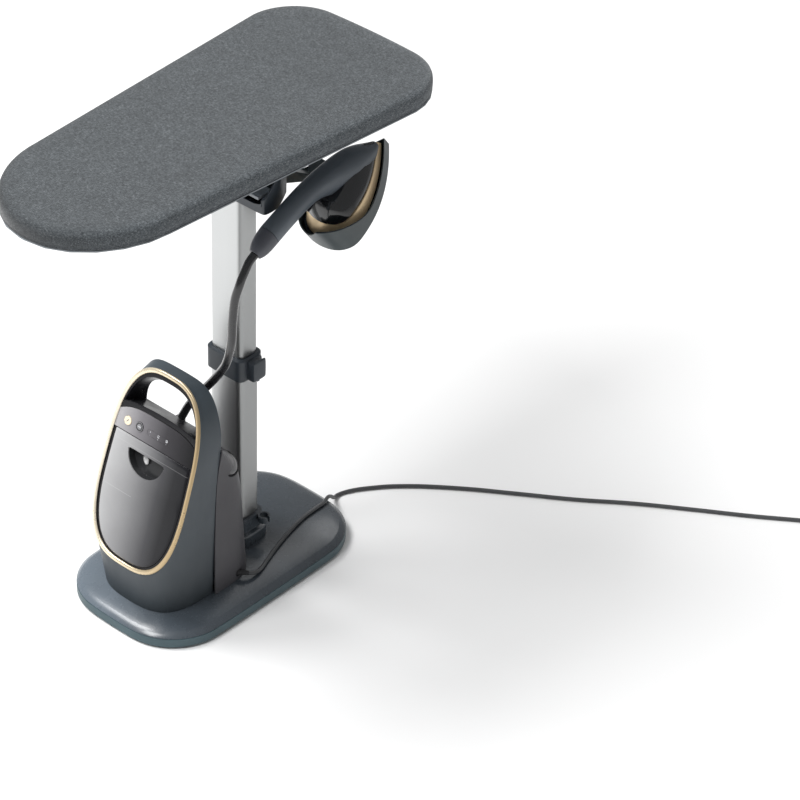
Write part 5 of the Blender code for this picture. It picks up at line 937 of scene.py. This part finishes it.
# From the foot of the side to the crown: inset from the outline, height
PAD_SECTION = ((0.0080, 0.8789), (0.0030, 0.8790), (0.0010, 0.8800), (0.0004, 0.8815), (0.0012, 0.8832),
               (0.0004, 0.8860), (0.0000, 0.8900), (0.0000, 0.8960), (0.0005, 0.9015), (0.0022, 0.9058),
               (0.0055, 0.9090), (0.0105, 0.9108), (0.0180, 0.9116), (0.0320, 0.9119), (0.0600, 0.9120))
PAD_WELD = 0.00002


def end_outline(end, side, inset):
    """One end of the board from side to side: two rounded corners and a slightly bowed edge."""
    edge_y, width, radius, bow = end
    half = width / 2 - inset
    corner = max(radius - inset, half * CORNER_LEAST_SHARE)
    reach = half - corner
    line = edge_y - side * (bow + inset)
    first = math.pi if side < 0 else 0.0
    points = []
    for side_x, start in ((side, first), (-side, first + math.pi / 2)):
        for k in range(CORNER_STEPS + 1):
            angle = start + math.pi / 2 * k / CORNER_STEPS
            points.append((side_x * reach + corner * math.cos(angle),
                           line - side * corner + corner * math.sin(angle)))
        if side_x == side:
            points += [(side_x * reach * (1 - 2 * k / EDGE_STEPS), line) for k in range(1, EDGE_STEPS)]
    return [(x, y + side * bow * (1 - (x / half) ** 2)) for x, y in points]


def board_outline(inset):
    front, back = end_outline(BOARD_FRONT, -1, inset), end_outline(BOARD_BACK, 1, inset)
    points = []
    for made, after in ((front, back), (back, front)):
        begin, finish = Vector(made[-1]), Vector(after[0])
        points += made + [tuple(begin.lerp(finish, k / SIDE_STEPS)) for k in range(1, SIDE_STEPS)]
    return points


def pad_piece():
    """The padded cover: tucked under at the edge, bellied at the side, rounded over, and crowned on top."""
    bm = skin([[(x, y, z) for x, y in board_outline(inset)] for inset, z in PAD_SECTION])
    bmesh.ops.remove_doubles(bm, verts=bm.verts, dist=PAD_WELD)
    item = finish_piece("board_pad", bm, CLOTH, "board", PAD_SMOOTH)
    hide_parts("board_cover", "foam_pad")


# ---- Camera, light and floor

CAMERA_TURN, CAMERA_LIFT = math.radians(44.0703), math.radians(36.098)
CAMERA_PLACE = (3.5175, -3.5236, 3.9867)
SENSOR, FOCAL, SHIFT_X, VIEW_END = 36, 163.6, 0.184, 50
FLOOR_TONE, FLOOR_ROUGHNESS, FLOOR_HALF = (0.90, 0.90, 0.90), 0.9, 14
SKY_TONE, SKY_STRENGTH, LIGHT_AIM = (1.0, 1.0, 1.0, 1.0), 0.33, Vector((0, 0, 0.45))
# Name, place, size, power
LIGHTS = (("key", (-0.76, -3.8, 6.2), 2.5, 315.0), ("side", (-2.9, -1.45, 6.0), 2.5, 315.0),
          ("rim", (-1.2, 4.6, 4.2), 2.2, 30.0))


def set_camera(scene):
    turn, lift = CAMERA_TURN, CAMERA_LIFT
    back = Vector((math.sin(turn) * math.cos(lift), -math.cos(turn) * math.cos(lift), math.sin(lift)))
    right = Vector((math.cos(turn), math.sin(turn), 0))
    data = bpy.data.cameras.new("camera")
    camera = bpy.data.objects.new("camera", data)
    scene.collection.objects.link(camera)
    aim = Matrix((right, back.cross(right), back)).transposed().to_4x4()
    camera.matrix_world = Matrix.Translation(CAMERA_PLACE) @ aim
    data.sensor_width = SENSOR
    data.lens = FOCAL
    data.shift_x = SHIFT_X
    data.clip_end = VIEW_END
    scene.camera = camera


def lay_floor(scene):
    bm = bmesh.new()
    bmesh.ops.create_grid(bm, x_segments=2, y_segments=2, size=FLOOR_HALF)
    data = bpy.data.meshes.new("floor")
    bm.to_mesh(data)
    bm.free()
    floor = bpy.data.objects.new("floor", data)
    data.materials.append(graph("floor", FLOOR_TONE, FLOOR_ROUGHNESS)[0])
    scene.collection.objects.link(floor)


def set_lights(scene):
    world = bpy.data.worlds.new("studio")
    scene.world = world
    world.use_nodes = True
    sky = world.node_tree.nodes["Background"]
    sky.inputs["Color"].default_value = SKY_TONE
    sky.inputs["Strength"].default_value = SKY_STRENGTH
    for name, place, size, power in LIGHTS:
        data = bpy.data.lights.new(name, "AREA")
        data.size = size
        data.energy = power
        light = bpy.data.objects.new(name, data)
        light.location = place
        light.rotation_euler = (Vector(place) - LIGHT_AIM).to_track_quat("Z", "Y").to_euler()
        scene.collection.objects.link(light)
    scene.view_settings.view_transform = "Standard"


cord_piece()
hose_pieces()
strain_relief()
ring_piece()
panel_marks()
cap_piece()
grip_lens()
slim_handle()
pad_piece()
set_camera(bpy.context.scene)
lay_floor(bpy.context.scene)
set_lights(bpy.context.scene)
